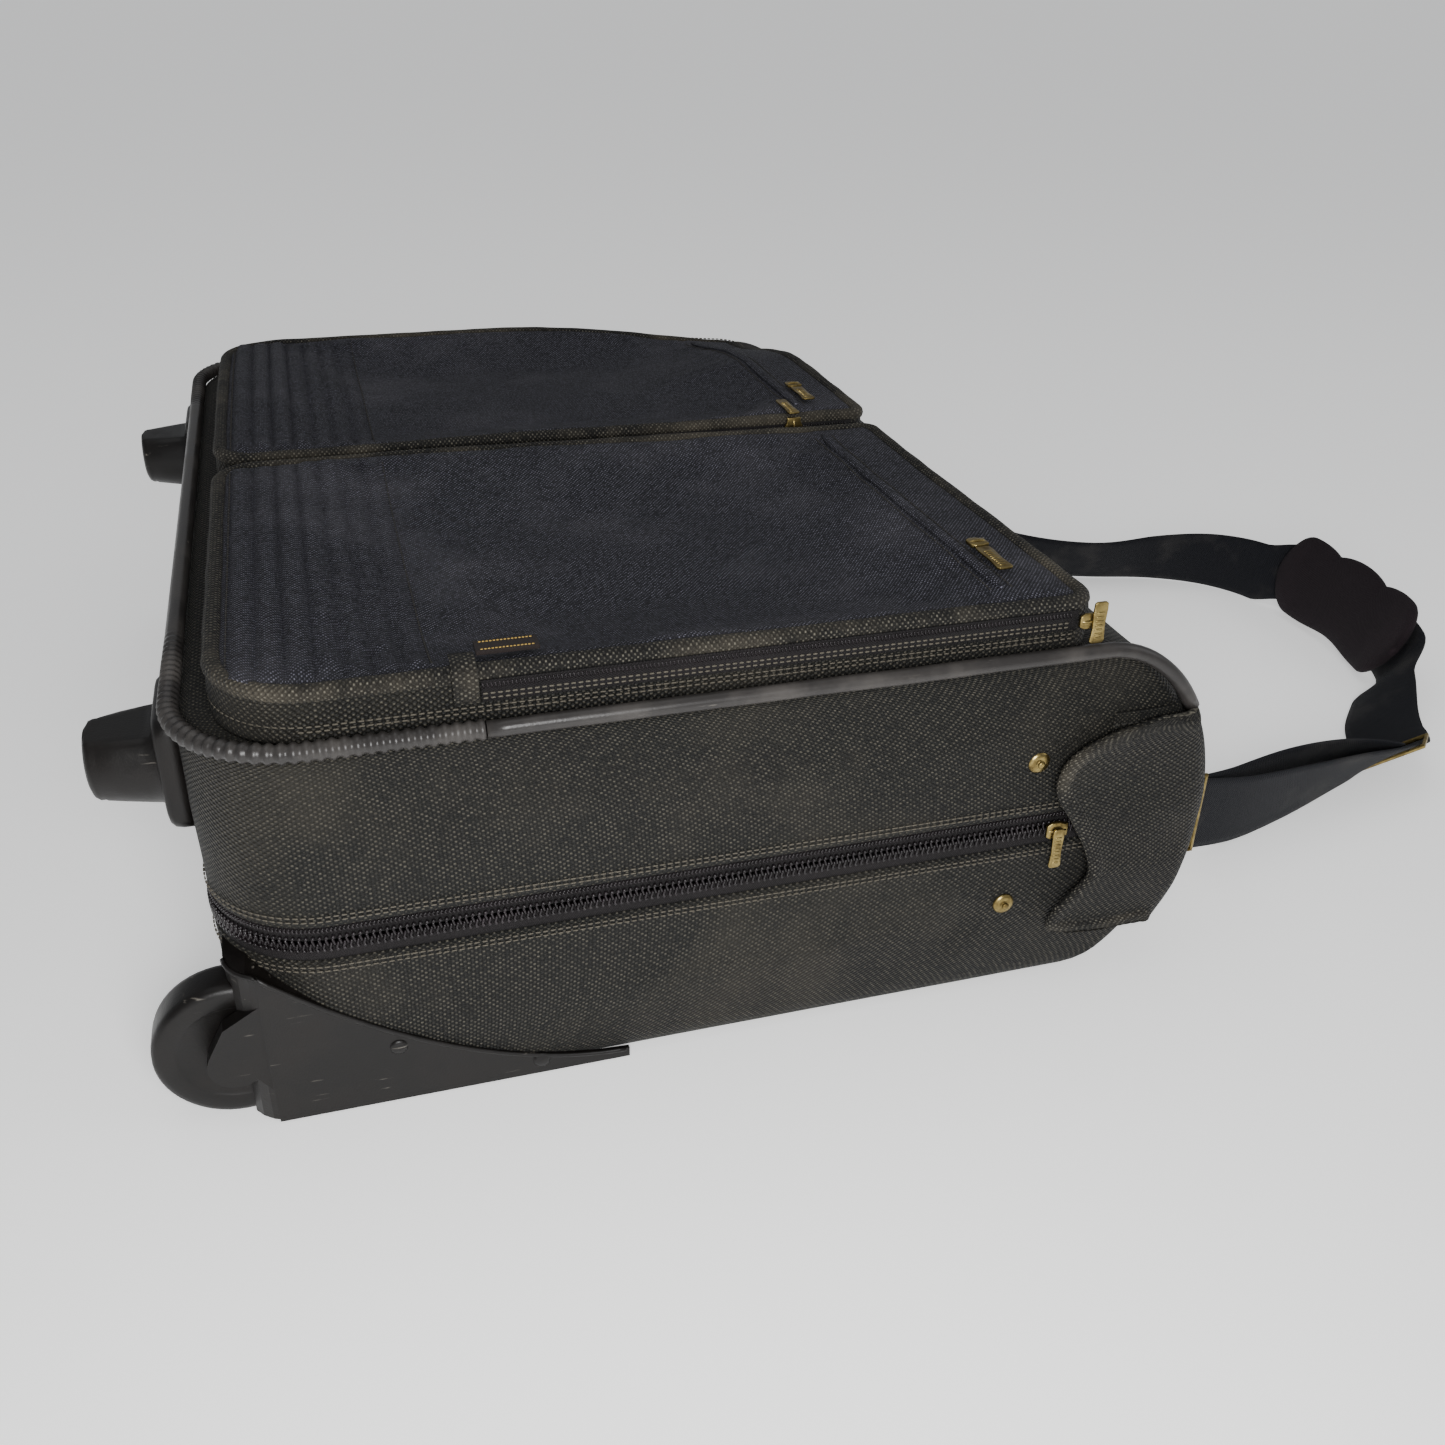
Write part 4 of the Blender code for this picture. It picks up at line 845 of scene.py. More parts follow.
def droop(side, x, y):
    """How far a half-empty pocket sinks below its full height at a place."""
    if side == "right":
        sunk = 0.0040 * ease(x, -0.1, 0.15) * ease(y, -0.28, -0.06)
        return sunk + 0.0012 * (1 + wander(x, y, 0, 0.13, 2.0))
    far = ease(y, 0.13, HALF - 0.01)
    return 0.0110 * far * ease(x, -0.05, 0.17) + 0.0080 * far + 0.0010 * (1 + wander(x, y, 0, 0.12, 5.0))


def settled_cloth(name, x0, x1, y0, y1, slack):
    """How a slack cloth, held round its border, sags and creases: its drop on an even grid."""
    nx, ny = int((x1 - x0) / 0.0075), int((y1 - y0) / 0.0075)
    rows = [[(x, y, 0.0) for x in np.linspace(x0, x1, nx + 1)] for y in np.linspace(y0, y1, ny + 1)]
    sheet = grid(name, rows, PANEL)
    held = sheet.vertex_groups.new(name="held")
    border = [b * (nx + 1) + a for b in range(ny + 1) for a in range(nx + 1) if a in (0, nx) or b in (0, ny)]
    held.add(border, 1.0, "REPLACE")
    for vertex in sheet.data.vertices:
        vertex.co.z += 0.0015 * wander(vertex.co.x, vertex.co.y, 0, 0.05, slack * 100)
    cloth = sheet.modifiers.new("cloth", "CLOTH")
    cloth.settings.quality = 6
    cloth.settings.mass = 0.25
    cloth.settings.tension_stiffness = 18
    cloth.settings.compression_stiffness = 18
    cloth.settings.bending_stiffness = 0.6
    cloth.settings.vertex_group_mass = "held"
    cloth.settings.shrink_min = -slack
    cloth.point_cache.frame_end = 40
    for frame_number in range(1, 33):
        bpy.context.scene.frame_set(frame_number)
    graph = bpy.context.evaluated_depsgraph_get()
    settled = sheet.evaluated_get(graph)
    drop = np.array([v.co.z for v in settled.data.vertices]).reshape(ny + 1, nx + 1)
    bpy.data.objects.remove(sheet)
    bpy.context.scene.frame_set(1)
    return np.clip(drop, -0.019, 0.006)


def pocket(side):
    """One front pocket: gusset, rolled edge and a slack front with sewn ribs across its bottom end."""
    y0, y1, radii = pocket_sides(side)
    x0, x1 = POCKET_X

    def line_at(inset, nx=80):
        """The pocket's outline, drawn in."""
        drawn_in = [r - inset for r in radii]
        return rounded_line(x0 + inset, x1 - inset, y0 + inset, y1 - inset, drawn_in, nx, 56, 12)

    wall = line_at(0.0005)
    out = frames_along(np.column_stack([wall, np.zeros(len(wall))]), (0, 0, 1), True)[0]
    rows = []
    for share in np.linspace(0, 1, 15):
        swell = 0.0010 * math.sin(math.pi * share) - 0.0012 * math.exp(-((share - 0.36) / 0.05) ** 2)
        row = []
        for (x, y), o in zip(wall, out):
            high = POCKET_TOP - 0.005 - droop(side, x, y)
            z = POCKET_BASE + (high - POCKET_BASE) * share
            zip_side = abs(y - y0) < 0.001
            push = swell * 0.3 if zip_side else swell + 0.0012 * wander(x, y, z, 0.04, 9.0)
            row.append((x + o[0] * push, y + o[1] * push, z))
        rows.append(row)
    gusset = solid_wall(grid(f"{side}_gusset", rows, NYLON, closed=True, flip=True), 0.002, LINING)
    applied(gusset)
    edge = line_at(0.0036, 120)
    roll = np.array([(x, y, POCKET_TOP - 0.0046 - droop(side, x, y)) for x, y in edge])
    size = [1.0 + 0.10 * wander(x, y, z, 0.02, 4.0) for x, y, z in roll]
    roll = sweep(f"{side}_rolled_edge", roll, disc(0.0043, 12), NYLON_RUBBED, closed=True, scale=size)
    outward(roll)

    past_ribs = END + 0.116
    xs = np.concatenate([np.arange(x0 + 0.003, past_ribs, 0.0015), np.linspace(past_ribs, x1 - 0.003, 84)])
    drop = settled_cloth(f"{side}_front_cloth", END + 0.06, SEAM_X - 0.004, y0 + 0.008, y1 - 0.008,
                         0.013 if side == "right" else 0.017)

    def sag(x, y):
        """The settled cloth's drop at a place, between its grid's points."""
        a = (x - END - 0.06) / (SEAM_X - 0.064 - END) * (drop.shape[1] - 1)
        b = (y - y0 - 0.008) / (y1 - y0 - 0.016) * (drop.shape[0] - 1)
        if not (0 <= a < drop.shape[1] - 1 and 0 <= b < drop.shape[0] - 1):
            return 0.0
        i, j = int(a), int(b)
        fa, fb = a - i, b - j
        near = drop[j, i] * (1 - fa) + drop[j, i + 1] * fa
        far = drop[j + 1, i] * (1 - fa) + drop[j + 1, i + 1] * fa
        return near * (1 - fb) + far * fb

    def height(x, y):
        """The pocket front's height at a place."""
        across = min(y - y0, y1 - y)
        end = min(x - x0, x1 - x)
        tuck = 0.0042 * (1 - ease(min(across, end), 0.002, 0.012))
        rib = 0.0
        turns = (x - RIB_START) / RIB_PITCH
        if 0 < turns < RIBS:
            share = 2 * (turns % 1) - 1
            rib = 0.0052 * (math.sqrt(max(0.0, 1 - share * share)) - 0.6) * ease(across, 0.008, 0.02)
        ripple = 0.0006 * wander(x, y, 0, 0.03, 8.0)
        return POCKET_TOP - 0.0008 - droop(side, x, y) - tuck + rib + ripple + sag(x, y)

    rows = []
    for x in xs:
        ends = []
        for start, bottom, fold, way in ((y0, radii[1], radii[0], 1), (y1, radii[2], radii[3], -1)):
            reach = 0.0
            for radius, gap in ((bottom, x - x0), (fold, x1 - x)):
                if gap < radius:
                    reach = max(reach, radius - math.sqrt(max(0.0, radius**2 - (radius - gap) ** 2)))
            ends.append(start + way * (reach + 0.003))
        row = []
        for share in np.linspace(0, 1, 96):
            y = ends[0] + (ends[1] - ends[0]) * share
            row.append((x, y, height(x, y)))
        rows.append(row)
    front = grid(f"{side}_pocket_front", rows, PANEL)
    if front.data.polygons[500].normal.z < 0:
        front.data.flip_normals()

    def worn(x, y, z):
        """Where the pocket front is paler: the ribs' crests as dust and a painted highlight, its rubbed rim and a
        few chalky streaks.
        """
        turns = (x - RIB_START) / RIB_PITCH
        # The crests get dust and a painted highlight, and the valleys between them stay darker as painted shade.
        crest_dust_and_highlight = 0.25 + 0.75 * (1 - (2 * (turns % 1) - 1) ** 4) if 0 < turns < RIBS else 0.0
        rim = math.exp(-min(x - x0, x1 - x, y - y0, y1 - y) / 0.012)
        chalk = max(0.0, wander(x * 3, y * 0.4, 0, 0.035, 1.7) - 0.45)
        chalk *= max(0.0, wander(x, y, 0, 0.09, 3.1) + 0.2)
        return 0.40 * crest_dust_and_highlight + 0.40 * rim + 0.6 * chalk + 0.08 * max(0.0, wander(x, y, 0, 0.06, 7.3))

    rubbed(front, worn)
    solid_wall(front, 0.002, LINING)
    applied(front)

    def dusted(x, y, z):
        """Where the gusset and its rolled edge are dusty: in patches, and most at the near bottom corner."""
        corner = math.exp(-math.hypot(x - x0 - 0.012, y - y0 - 0.02) / 0.03) if side == "right" else 0.0
        return 1.3 * corner + 0.35 * max(0.0, wander(x, y, z, 0.03, 6.1))

    rubbed(gusset, dusted)
    rubbed(roll, dusted)

    pieces = [gusset, roll, front]
    for k in range(RIBS + 1):
        x = RIB_START + RIB_PITCH * k
        line = [(x, y, height(x, y) + 0.0002) for y in np.arange(y0 + 0.014, y1 - 0.014, 0.004)]
        pieces.append(stitches(f"{side}_rib_seam_{k}", line, (0, 0, 1), DARK_THREAD, 0.004, 0.0026))
    for high in (0.0062, 0.0086):
        line = np.array([(x, y, POCKET_BASE + high) for x, y in wall] + [(*wall[0], POCKET_BASE + high)])
        face = np.concatenate([out, out[:1]])
        pieces.append(stitches(f"{side}_gusset_seam_{high:.4f}", line + face * 0.0005, face))
    finish_piece(joined(f"{side}_pocket_bag", pieces), "front_half", "panel_cloth", f"{side}_pocket")

    places = np.arange(y0 + 0.020, y1 - 0.020, 0.004)
    welt = np.array([(SEAM_X, y, height(SEAM_X, y) + 0.0004) for y in places])
    dome = [(0.0034 * math.cos(t), 0.0024 * math.sin(t)) for t in np.linspace(0, math.pi, 9)] + [(0, -0.001)]
    fade = np.minimum(1.0, 0.35 + np.minimum(np.arange(len(welt)), len(welt) - 1 - np.arange(len(welt))) / 4)
    pieces = [outward(sweep(f"{side}_welt", welt, dome, PANEL, scale=fade))]
    for shift in (-0.0056, 0.0056):
        line = [(SEAM_X + shift, y, height(SEAM_X + shift, y) + 0.0002) for _, y, _ in welt]
        pieces.append(stitches(f"{side}_welt_seam_{shift:.4f}", line, (0, 0, 1), DARK_THREAD))
    finish_piece(joined(f"{side}_welted_seam", pieces), "front_half", "panel_cloth", f"{side}_cross_seam")


def pocket_zip(side):
    """The zip along a pocket's right side: tape, coil, seams, and on the right pocket a tab over its end."""
    y0 = pocket_sides(side)[0]
    low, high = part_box(f"{side}_pocket_zip")
    start = low.x
    line = np.array([(x, y0 - 0.0014, high.z - 0.0012) for x in np.arange(start, high.x + 0.004, 0.006)])
    out = np.tile((0.0, -1.0, 0.0), (len(line), 1))
    shape = [(start, low.z - 0.0012), (high.x + 0.004, low.z - 0.0012), (high.x + 0.004, high.z + 0.001),
             (start, high.z + 0.001)]
    tape = slab(f"{side}_pocket_tape", shape, y0 - 0.0014, y0 - 0.0004, "Y", TAPE)
    teeth = coil_row(f"{side}_pocket_teeth", line, out, 1, 0.0018, 0.0032, 0.0009, 0.0016, 0.25)
    pieces = [lay_cloth(tape), teeth]
    for drop_by in (0.0062, 0.0040):
        seam = line - np.array((0, 0.0002, drop_by))
        pieces.append(stitches(f"{side}_tape_seam_{drop_by:.4f}", seam, (0, -1, 0), THREAD, 0.0032, 0.0024))
    if side == "right":
        tab = [(-0.0022, -0.017), (-0.0026, -0.008), (-0.0010, -0.0022), (0.0030, 0.0004), (0.0090, 0.0006),
               (0.0130, -0.0004)]
        rows = [[(start - 0.012 + 0.011 * k / 6, y0 + y, POCKET_TOP + z) for k in range(7)] for y, z in tab]
        cover = solid_wall(grid("zip_end_tab", rows, NYLON_RUBBED), 0.001, offset=0.0)
        pieces.append(applied(cover))
    finish_piece(joined(f"{side}_pocket_zip_side", pieces), "front_half", "zip_coil", f"{side}_pocket_zip")


def label():
    """A blank woven label at the pocket's edge, with a gold line near each long side."""
    low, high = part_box("label_patch")
    patch = slab("label_cloth", [(low.x, low.y), (high.x, low.y), (high.x, high.y), (low.x, high.y)],
                 low.z - 0.0012, high.z, "Z", LABEL, 0.0003)
    pieces = [lay_cloth(patch)]
    for y in (low.y + 0.0018, high.y - 0.0018):
        line = [(x, y, high.z) for x in np.linspace(low.x + 0.002, high.x - 0.002, 9)]
        pieces.append(stitches(f"label_line_{y:.4f}", line, (0, 0, 1), GOLD_THREAD, 0.0016, 0.0013))
    finish_piece(joined("blank_label", pieces), "front_half", "label", "label_patch")


# ---------------------------------------------------------------- the fold: its cover and flaps


def curve_through(points, between):
    """A smooth curve through points, with that many steps between each two."""
    points = np.asarray(points, float)
    last = len(points) - 1
    line = []
    for k in range(last):
        a, b, c, d = points[[max(k - 1, 0), k, k + 1, min(k + 2, last)]]
        for s in range(between):
            t = s / between
            line.append(0.5 * (2 * b + (c - a) * t + (2 * a - 5 * b + 4 * c - d) * t**2
                               + (3 * b - a - 3 * c + d) * t**3))
    line.append(points[-1])
    return np.array(line)


def fold_cover():
    """The cloth over the fold, one piece from half to half, with stitched hems and slack creases."""
    rows = []
    side, across, corner = HALF + 0.0005, 110, 12
    for z in np.linspace(PARTING - 0.065, PARTING + 0.065, 40):
        line = rounded_line(END, fold_end(z) + 0.0005, -side, side, (0.0125,) * 4, 90, across, corner)
        turn, hem_x = fold_end(z) - 0.012, ZIP_END + 0.005
        right = [(hem_x + (turn - hem_x) * (1 - s), -side) for s in np.linspace(0, 1, 8)[1:]]
        left = [(x, -y) for x, y in right[::-1]]
        around = np.concatenate([left, [(turn, side)], line[1 - across - corner:], line[:corner + 1], right])
        hem = min(1.0, abs(abs(z - PARTING) - 0.0605) / 0.003)
        lift = 0.0016 + 0.0006 * (1 - hem)
        flat = np.column_stack([around, np.full(len(around), z)])
        out = frames_along(flat)[0]
        puff = np.array([lift + 0.0010 * wander(x, y, z, 0.05, 6.0) + 0.0006 * wander(x, y, z, 0.018, 2.0)
                         for x, y, _ in flat])
        rows.append(flat + out * puff[:, None])
    cover = grid("fold_cover_cloth", rows, NYLON)
    if cover.data.polygons[len(cover.data.polygons) // 2].normal.x < 0:
        cover.data.flip_normals()
    solid_wall(cover, 0.002, LINING)
    applied(cover)
    rows = np.array(rows)
    seams = [cover]
    for k in (2, 37):
        line = rows[k]
        face = frames_along(line)[0]
        if face[len(face) // 2][0] < 0:
            face = -face
        seams.append(stitches(f"cover_hem_{k}", line + face * 0.0002, face, DARK_THREAD))
    cover = joined("fold_cover_cloth", seams)
    slumped(cover)
    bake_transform(cover)
    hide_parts("fold_cover_back", "fold_cover_front")


FLAP_EDGE = [(-0.016, 0.060), (-0.038, 0.064), (-0.070, 0.055), (-0.086, 0.044), (-0.089, 0.027), (-0.078, 0.008),
             (-0.067, -0.012), (-0.063, -0.028), (-0.073, -0.040), (-0.083, -0.053), (-0.078, -0.062),
             (-0.050, -0.066), (-0.026, -0.065)]


def side_flap(side, sign):
    """The lobed flap of one side: it comes round the fold's corner and ends in a thick rolled edge."""
    edge = curve_through(FLAP_EDGE, 8)
    upper, lower = edge[:, 1].max(), edge[:, 1].min()
    top, bottom = int(edge[:, 1].argmax()), int(edge[:, 1].argmin())
    lobe = edge[top:bottom + 1][::-1]
    heights = np.concatenate([np.linspace(lower + 0.0004, lower + 0.012, 12),
                              np.linspace(lower + 0.014, upper - 0.014, 44),
                              np.linspace(upper - 0.012, upper - 0.0004, 12)])
    face_y = HALF + 0.0085
    shares = np.concatenate([np.linspace(0, 0.16, 12), np.linspace(0.18, 1, 34)])
    middle, thick = [], []
    order = np.argsort(lobe[:, 1])
    for h in heights:
        left = float(np.interp(h, lobe[order, 1], lobe[order, 0]))
        if h > 0.060:
            left = float(np.interp(h, (0.060, upper), (-0.052, -0.034)))
        z = PARTING + h
        right = fold_end(z) - FOLD + 0.030
        row, fat = [], []
        for share in shares:
            a = left + (right - left) * share
            corner = fold_end(z) - FOLD - 0.008
            x, y = FOLD + a, face_y
            if a > corner:
                turn = min(math.pi / 2, (a - corner) / 0.0115)
                x = FOLD + corner + 0.0115 * math.sin(turn)
                y = face_y - 0.0115 * (1 - math.cos(turn)) - max(0.0, a - corner - 0.0115 * math.pi / 2)
            near = float(np.sqrt((edge[:, 0] - a) ** 2 + (edge[:, 1] - h) ** 2).min())
            reach = min(1.0, near / 0.0030)
            roll = 0.0026 * math.sqrt(max(0.0, 1 - (1 - reach) ** 2))
            settle = 0.0013 * ease(near, 0.0045, 0.0085)
            crease = 0.0020 * wander(x, 0, z, 0.035, 3.0 + sign) * ease(near, 0.004, 0.03)
            row.append((x, y + crease, z))
            fat.append(max(0.00015, roll - settle))
        middle.append(row)
        thick.append(fat)
    middle, thick = np.array(middle), np.array(thick)
    outer, inner = middle.copy(), middle.copy()
    push = np.zeros_like(middle)
    along = np.gradient(middle, axis=1)
    push[..., 0], push[..., 1] = -along[..., 1], along[..., 0]
    push /= np.maximum(np.linalg.norm(push, axis=2), 1e-9)[..., None]
    outer += push * thick[..., None]
    inner -= push * thick[..., None] * 0.45
    for rows in (outer, inner):
        rows[..., 1] *= sign
    if outer[30, 5, 1] * sign < inner[30, 5, 1] * sign:
        outer, inner = inner, outer
    rows = np.concatenate([outer, inner[:, ::-1]], axis=1)
    flap = outward(grid(f"{side}_flap_cloth", rows, NYLON_RUBBED, closed=True, ends=True))
    flap.data.materials.append(NYLON)

    def from_edge(x, z):
        """How far a place on the flap is from its edge."""
        return math.sqrt(((edge[:, 0] + FOLD - x) ** 2 + (edge[:, 1] + PARTING - z) ** 2).min())

    rubbed(flap, lambda x, y, z: 0.5 * math.exp(-from_edge(x, z) / 0.004))
    slots = [1 if from_edge(face.center.x, face.center.z) > 0.0075 else 0 for face in flap.data.polygons]
    flap.data.polygons.foreach_set("material_index", slots)
    loop = np.array([(FOLD + a, sign * (face_y + 0.0012), PARTING + h) for a, h in edge[8:-4]])
    inward = -frames_along(loop, (0, sign, 0))[0]
    if (loop + inward * 0.01)[20][0] < loop[20][0]:
        inward = -inward
    seam = stitches(f"{side}_flap_seam", loop + inward * 0.0078, (0, sign, 0), DARK_THREAD)
    flap = joined(f"{side}_lobed_flap", [flap, seam])
    slumped(flap)
    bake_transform(flap)
    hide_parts(f"{side}_side_flap")


def studs():
    """Snap studs: a rolled brass post on a pressed cap, proud of the cloth."""
    for side, sign in SIDES:
        for word, body in (("upper", "front_half"), ("lower", "back_half")):
            low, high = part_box(f"{side}_{word}_stud")
            at = ((low.x + high.x) / 2, sign * (HALF + 0.0008), (low.z + high.z) / 2)
            profile = [(0.0002, 0.0040), (0.0012, 0.0040), (0.0018, 0.0036), (0.0020, 0.0031), (0.0015, 0.0024),
                       (0.0015, 0.0019), (0.0024, 0.0021), (0.0044, 0.0018), (0.0056, 0.0011), (0.0060, 0.0004),
                       (0.0058, -0.0008), (0.0002, -0.0008)]
            piece = turned(f"{side}_{word}_snap_stud", profile, at, (0, sign, 0), BRASS)
            finish_piece(piece, body, "brass_plate", f"{side}_{word}_stud")


# ---------------------------------------------------------------- wheels, housings and feet


def wheels():
    """The moulded wheels: a rounded tyre and rim, a recessed web, six spokes and a hub."""
    for side, sign in SIDES:
        low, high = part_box(f"{side}_wheel")
        middle = (low + high) / 2
        radius, half = (high.z - low.z) / 2, (high.y - low.y) / 2
        axis = (0, sign, 0)
        tyre = turned(f"{side}_tyre", [
            (0.0255, half - 0.0010), (0.0265, half - 0.0004), (0.0275, half), (radius - 0.0040, half),
            (radius - 0.0018, half - 0.0006), (radius - 0.0004, half - 0.0024), (radius, half - 0.005),
            (radius, -half + 0.005), (radius - 0.0004, -half + 0.0024), (radius - 0.0018, -half + 0.0006),
            (radius - 0.0040, -half), (0.0275, -half), (0.0255, -half + 0.001), (0.0250, -half + 0.003),
            (0.0250, half - 0.003)], middle, axis, POLYPROPYLENE, 56)
        web = turned(f"{side}_web", [
            (0.0045, -half + 0.0075), (0.0252, -half + 0.0075), (0.0252, -half + 0.0045),
            (0.0045, -half + 0.0045)], middle, axis, POLYPROPYLENE, 40)
        hub = turned(f"{side}_hub", [
            (0.0036, half - 0.0022), (0.0072, half - 0.0022), (0.0082, half - 0.0032), (0.0084, -half + 0.002),
            (0.0036, -half + 0.002)], middle, axis, POLYPROPYLENE)
        pieces = [tyre, web, hub]
        for k in range(6):
            turn = 2 * math.pi * k / 6 + 0.3
            along = Vector((math.cos(turn), 0, math.sin(turn)))
            across = Vector((-math.sin(turn), 0, math.cos(turn)))
            rows = []
            for level in (-half + 0.006, half - 0.0052, half - 0.0046):
                trim = 0.0 if level < half - 0.005 else 0.0007
                shape = ((0.007, -0.0034 + trim), (0.0256, -0.0050 + trim), (0.0256, 0.0050 - trim),
                         (0.007, 0.0034 - trim))
                lift = Vector((0, sign * level, 0))
                rows.append([middle + along * a + across * b + lift for a, b in shape])
            spoke = outward(grid(f"{side}_spoke_{k}", rows, POLYPROPYLENE, closed=True, ends=True))
            spoke.data.set_sharp_from_angle(angle=math.radians(30))
            pieces.append(spoke)
        node = f"{side}_wheel"
        finish_piece(joined(f"{side}_spoked_wheel", pieces), node, "moulded_plastic", node)


def housing_details():
    """The corner mouldings' softened edges, the lip that holds the cloth, and their rivets."""
    for side, sign in SIDES:
        node = nodes[f"{side}_wheel_housing"]
        edge = node.modifiers.new("rounded_edges", "BEVEL")
        edge.width = 0.0009
        edge.segments = 2
        edge.limit_method = "ANGLE"
        edge.angle_limit = math.radians(35)
        y = sign * (HALF + 0.0022)
        line = [(x, y, housing_top(x) - 0.0006) for x in np.linspace(HOUSING_END - 0.002, END + 0.027, 48)]
        corner = HALF + 0.0025 - 0.022
        for turn in np.radians(np.linspace(8, 82, 9)):
            line.append((END + 0.026 - 0.022 * math.sin(turn), sign * (corner + 0.0218 * math.cos(turn)),
                         housing_top(END + 0.026 - 0.022 * math.sin(turn)) - 0.0008))
        lip = outward(sweep(f"{side}_cloth_lip", line, disc(0.0013, 8), POLYPROPYLENE))
        pieces = [lip]
        for x, z in ((END + 0.077, 0.034), (END + 0.145, 0.009)):
            pieces.append(turned(f"{side}_rivet_{x:.3f}", [
                (0.0003, 0.0012), (0.0028, 0.0010), (0.0042, 0.0004), (0.0044, -0.001), (0.0003, -0.001)],
                (x, sign * (HALF + 0.0025), z), (0, sign, 0), POLYPROPYLENE, 20))
        finish_piece(joined(f"{side}_housing_trim", pieces), "back_half", "moulded_plastic")


def feet():
    """Moulded feet: a tapered cup on a collar plate, with a flat on its crown and a screw at its foot."""
    for side, sign in SIDES:
        low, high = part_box(f"{side}_foot")
        middle = (low + high) / 2
        wide = (high.y - low.y) / 2
        rows = []
        for reach, size, corner in ((0.0, 1.0, 0.007), (0.006, 1.0, 0.007), (0.0095, 0.985, 0.0075),
                                    (0.0115, 0.95, 0.009), (0.0122, 0.90, 0.010)):
            ring = rounded_line(-wide * size, wide * size, -wide * size, wide * size, (corner,) * 4, 8, 8, 6)
            rows.append([(high.x - reach, middle.y + a, middle.z + b) for a, b in ring])
        collar = outward(grid(f"{side}_collar", rows, POLYPROPYLENE, closed=True, ends=True))
        reach = END - low.x
        turns = np.linspace(0, 2 * math.pi, 40, endpoint=False)
        rows = []
        for along, radius in ((0.010, 0.0262), (0.0126, 0.0252), (0.0150, 0.0243), (0.0185, 0.0238),
                              (0.030, 0.0218), (0.0385, 0.0202), (0.0395, 0.0196), (0.0415, 0.0196),
                              (0.0436, 0.0182), (reach, 0.0150), (reach, 0.004)):
            ring = []
            for t in turns:
                a, b = radius * math.cos(t), radius * math.sin(t)
                flat = 0.0165 - 0.05 * (along - 0.015)
                ring.append((END - along, middle.y + a, middle.z + min(b, flat if along > 0.0145 else b)))
            rows.append(ring)
        cup = outward(grid(f"{side}_cup", rows, POLYPROPYLENE, closed=True, ends=True))
        screw = turned(f"{side}_foot_screw", [
            (0.0003, 0.0012), (0.0022, 0.0010), (0.0030, 0.0003), (0.0031, -0.001), (0.0003, -0.001)],
            (END - 0.0122, middle.y + 0.014 * sign, middle.z - wide + 0.0042), (-1, 0, 0), STEEL, 18)
        for piece in (collar, cup):
            piece.data.set_sharp_from_angle(angle=math.radians(50))
        foot = joined(f"{side}_cup_foot", [collar, cup, screw])
        finish_piece(foot, "front_half", "moulded_plastic", f"{side}_foot")


# ---------------------------------------------------------------- the shoulder strap

STRAP_WIDE, STRAP_THICK = 0.050, 0.0022
# Each run's points: past the fold, along Y and up, in metres, and the band's lean in degrees
END_RUN = [
    (0.0655, -0.240, 0.0132, 0), (0.100, -0.230, 0.006, 6), (0.150, -0.211, 0.001, 16),
    (0.196, -0.193, 0.000, 28), (0.228, -0.179, 0.000, 40),
]
NEAR_RUN = [
    (0.2460, -0.1620, 0.000, 58), (0.256, -0.142, 0.000, 64), (0.272, -0.118, 0.000, 60),
    (0.298, -0.092, 0.000, 46), (0.322, -0.072, 0.000, 34),
]
PAD_RUN = [
    (0.3235, -0.0685, 0.000, 30), (0.337, -0.040, 0.000, 24), (0.345, -0.002, 0.000, 18),
    (0.347, 0.038, 0.000, 15), (0.343, 0.080, 0.000, 15),
]
FAR_RUN = [
    (0.3425, 0.0835, 0.000, 12), (0.333, 0.114, 0.000, 2), (0.310, 0.141, 0.000, -10),
    (0.272, 0.162, 0.000, -22), (0.220, 0.177, 0.000, -32), (0.160, 0.198, 0.002, -26),
    (0.105, 0.226, 0.008, -8), (0.0655, 0.240, 0.0132, 0),
]


def strap_axes(points, between=8):
    """The lower edge of a strap's run, with its directions across its width and out of its face."""
    run = curve_through([(FOLD + x, y, lift) for x, y, lift, _ in points], between)
    leans = curve_through([(lean, 0, 0) for *_, lean in points], between)[:, 0]
    along = np.gradient(run, axis=0)
    along[:, 2] = 0
    along /= np.linalg.norm(along, axis=1)[:, None]
    out = np.stack([along[:, 1], -along[:, 0], np.zeros(len(run))], -1)
    lean = np.radians(leans)[:, None]
    rise = np.array((0, 0, 1.0))
    return run, np.sin(lean) * out + np.cos(lean) * rise, np.cos(lean) * out - np.sin(lean) * rise


def webbing_band(name, points, shift, low):
    """A woven band with full, rounded selvedges, cupped a little, moved out of its face and up by shares."""
    run, across, face = strap_axes(points)
    drop = np.abs(face[:, 2:]) * STRAP_THICK / 2
    base = run + np.concatenate([np.zeros((len(run), 2)), drop + 0.0008], axis=1)
    base = base + face * shift[:, None] + across * low[:, None]
    rows = []
    shares = np.linspace(0, 1, 13)
    for b, c, f in zip(base, across, face):
        top, under = [], []
        for s in shares:
            edge = min(s, 1 - s) * STRAP_WIDE
            half = STRAP_THICK / 2 * (0.55 + 0.45 * min(1.0, edge / 0.0012))
            half += 0.0003 * math.exp(-((edge - 0.003) / 0.0016) ** 2)
            cup = 0.0012 * (4 * (s - 0.5) ** 2 - 1)
            spot = b + c * STRAP_WIDE * s + f * cup
            top.append(spot + f * half)
            under.append(spot - f * half)
        rows.append(top + under[::-1])
    return outward(grid(name, rows, WEBBING, closed=True, ends=True))


def run_length(points):
    """The flat length of webbing laid along a run, in metres."""
    run = strap_axes(points)[0]
    return float(np.linalg.norm(np.diff(run, axis=0), axis=1).sum())


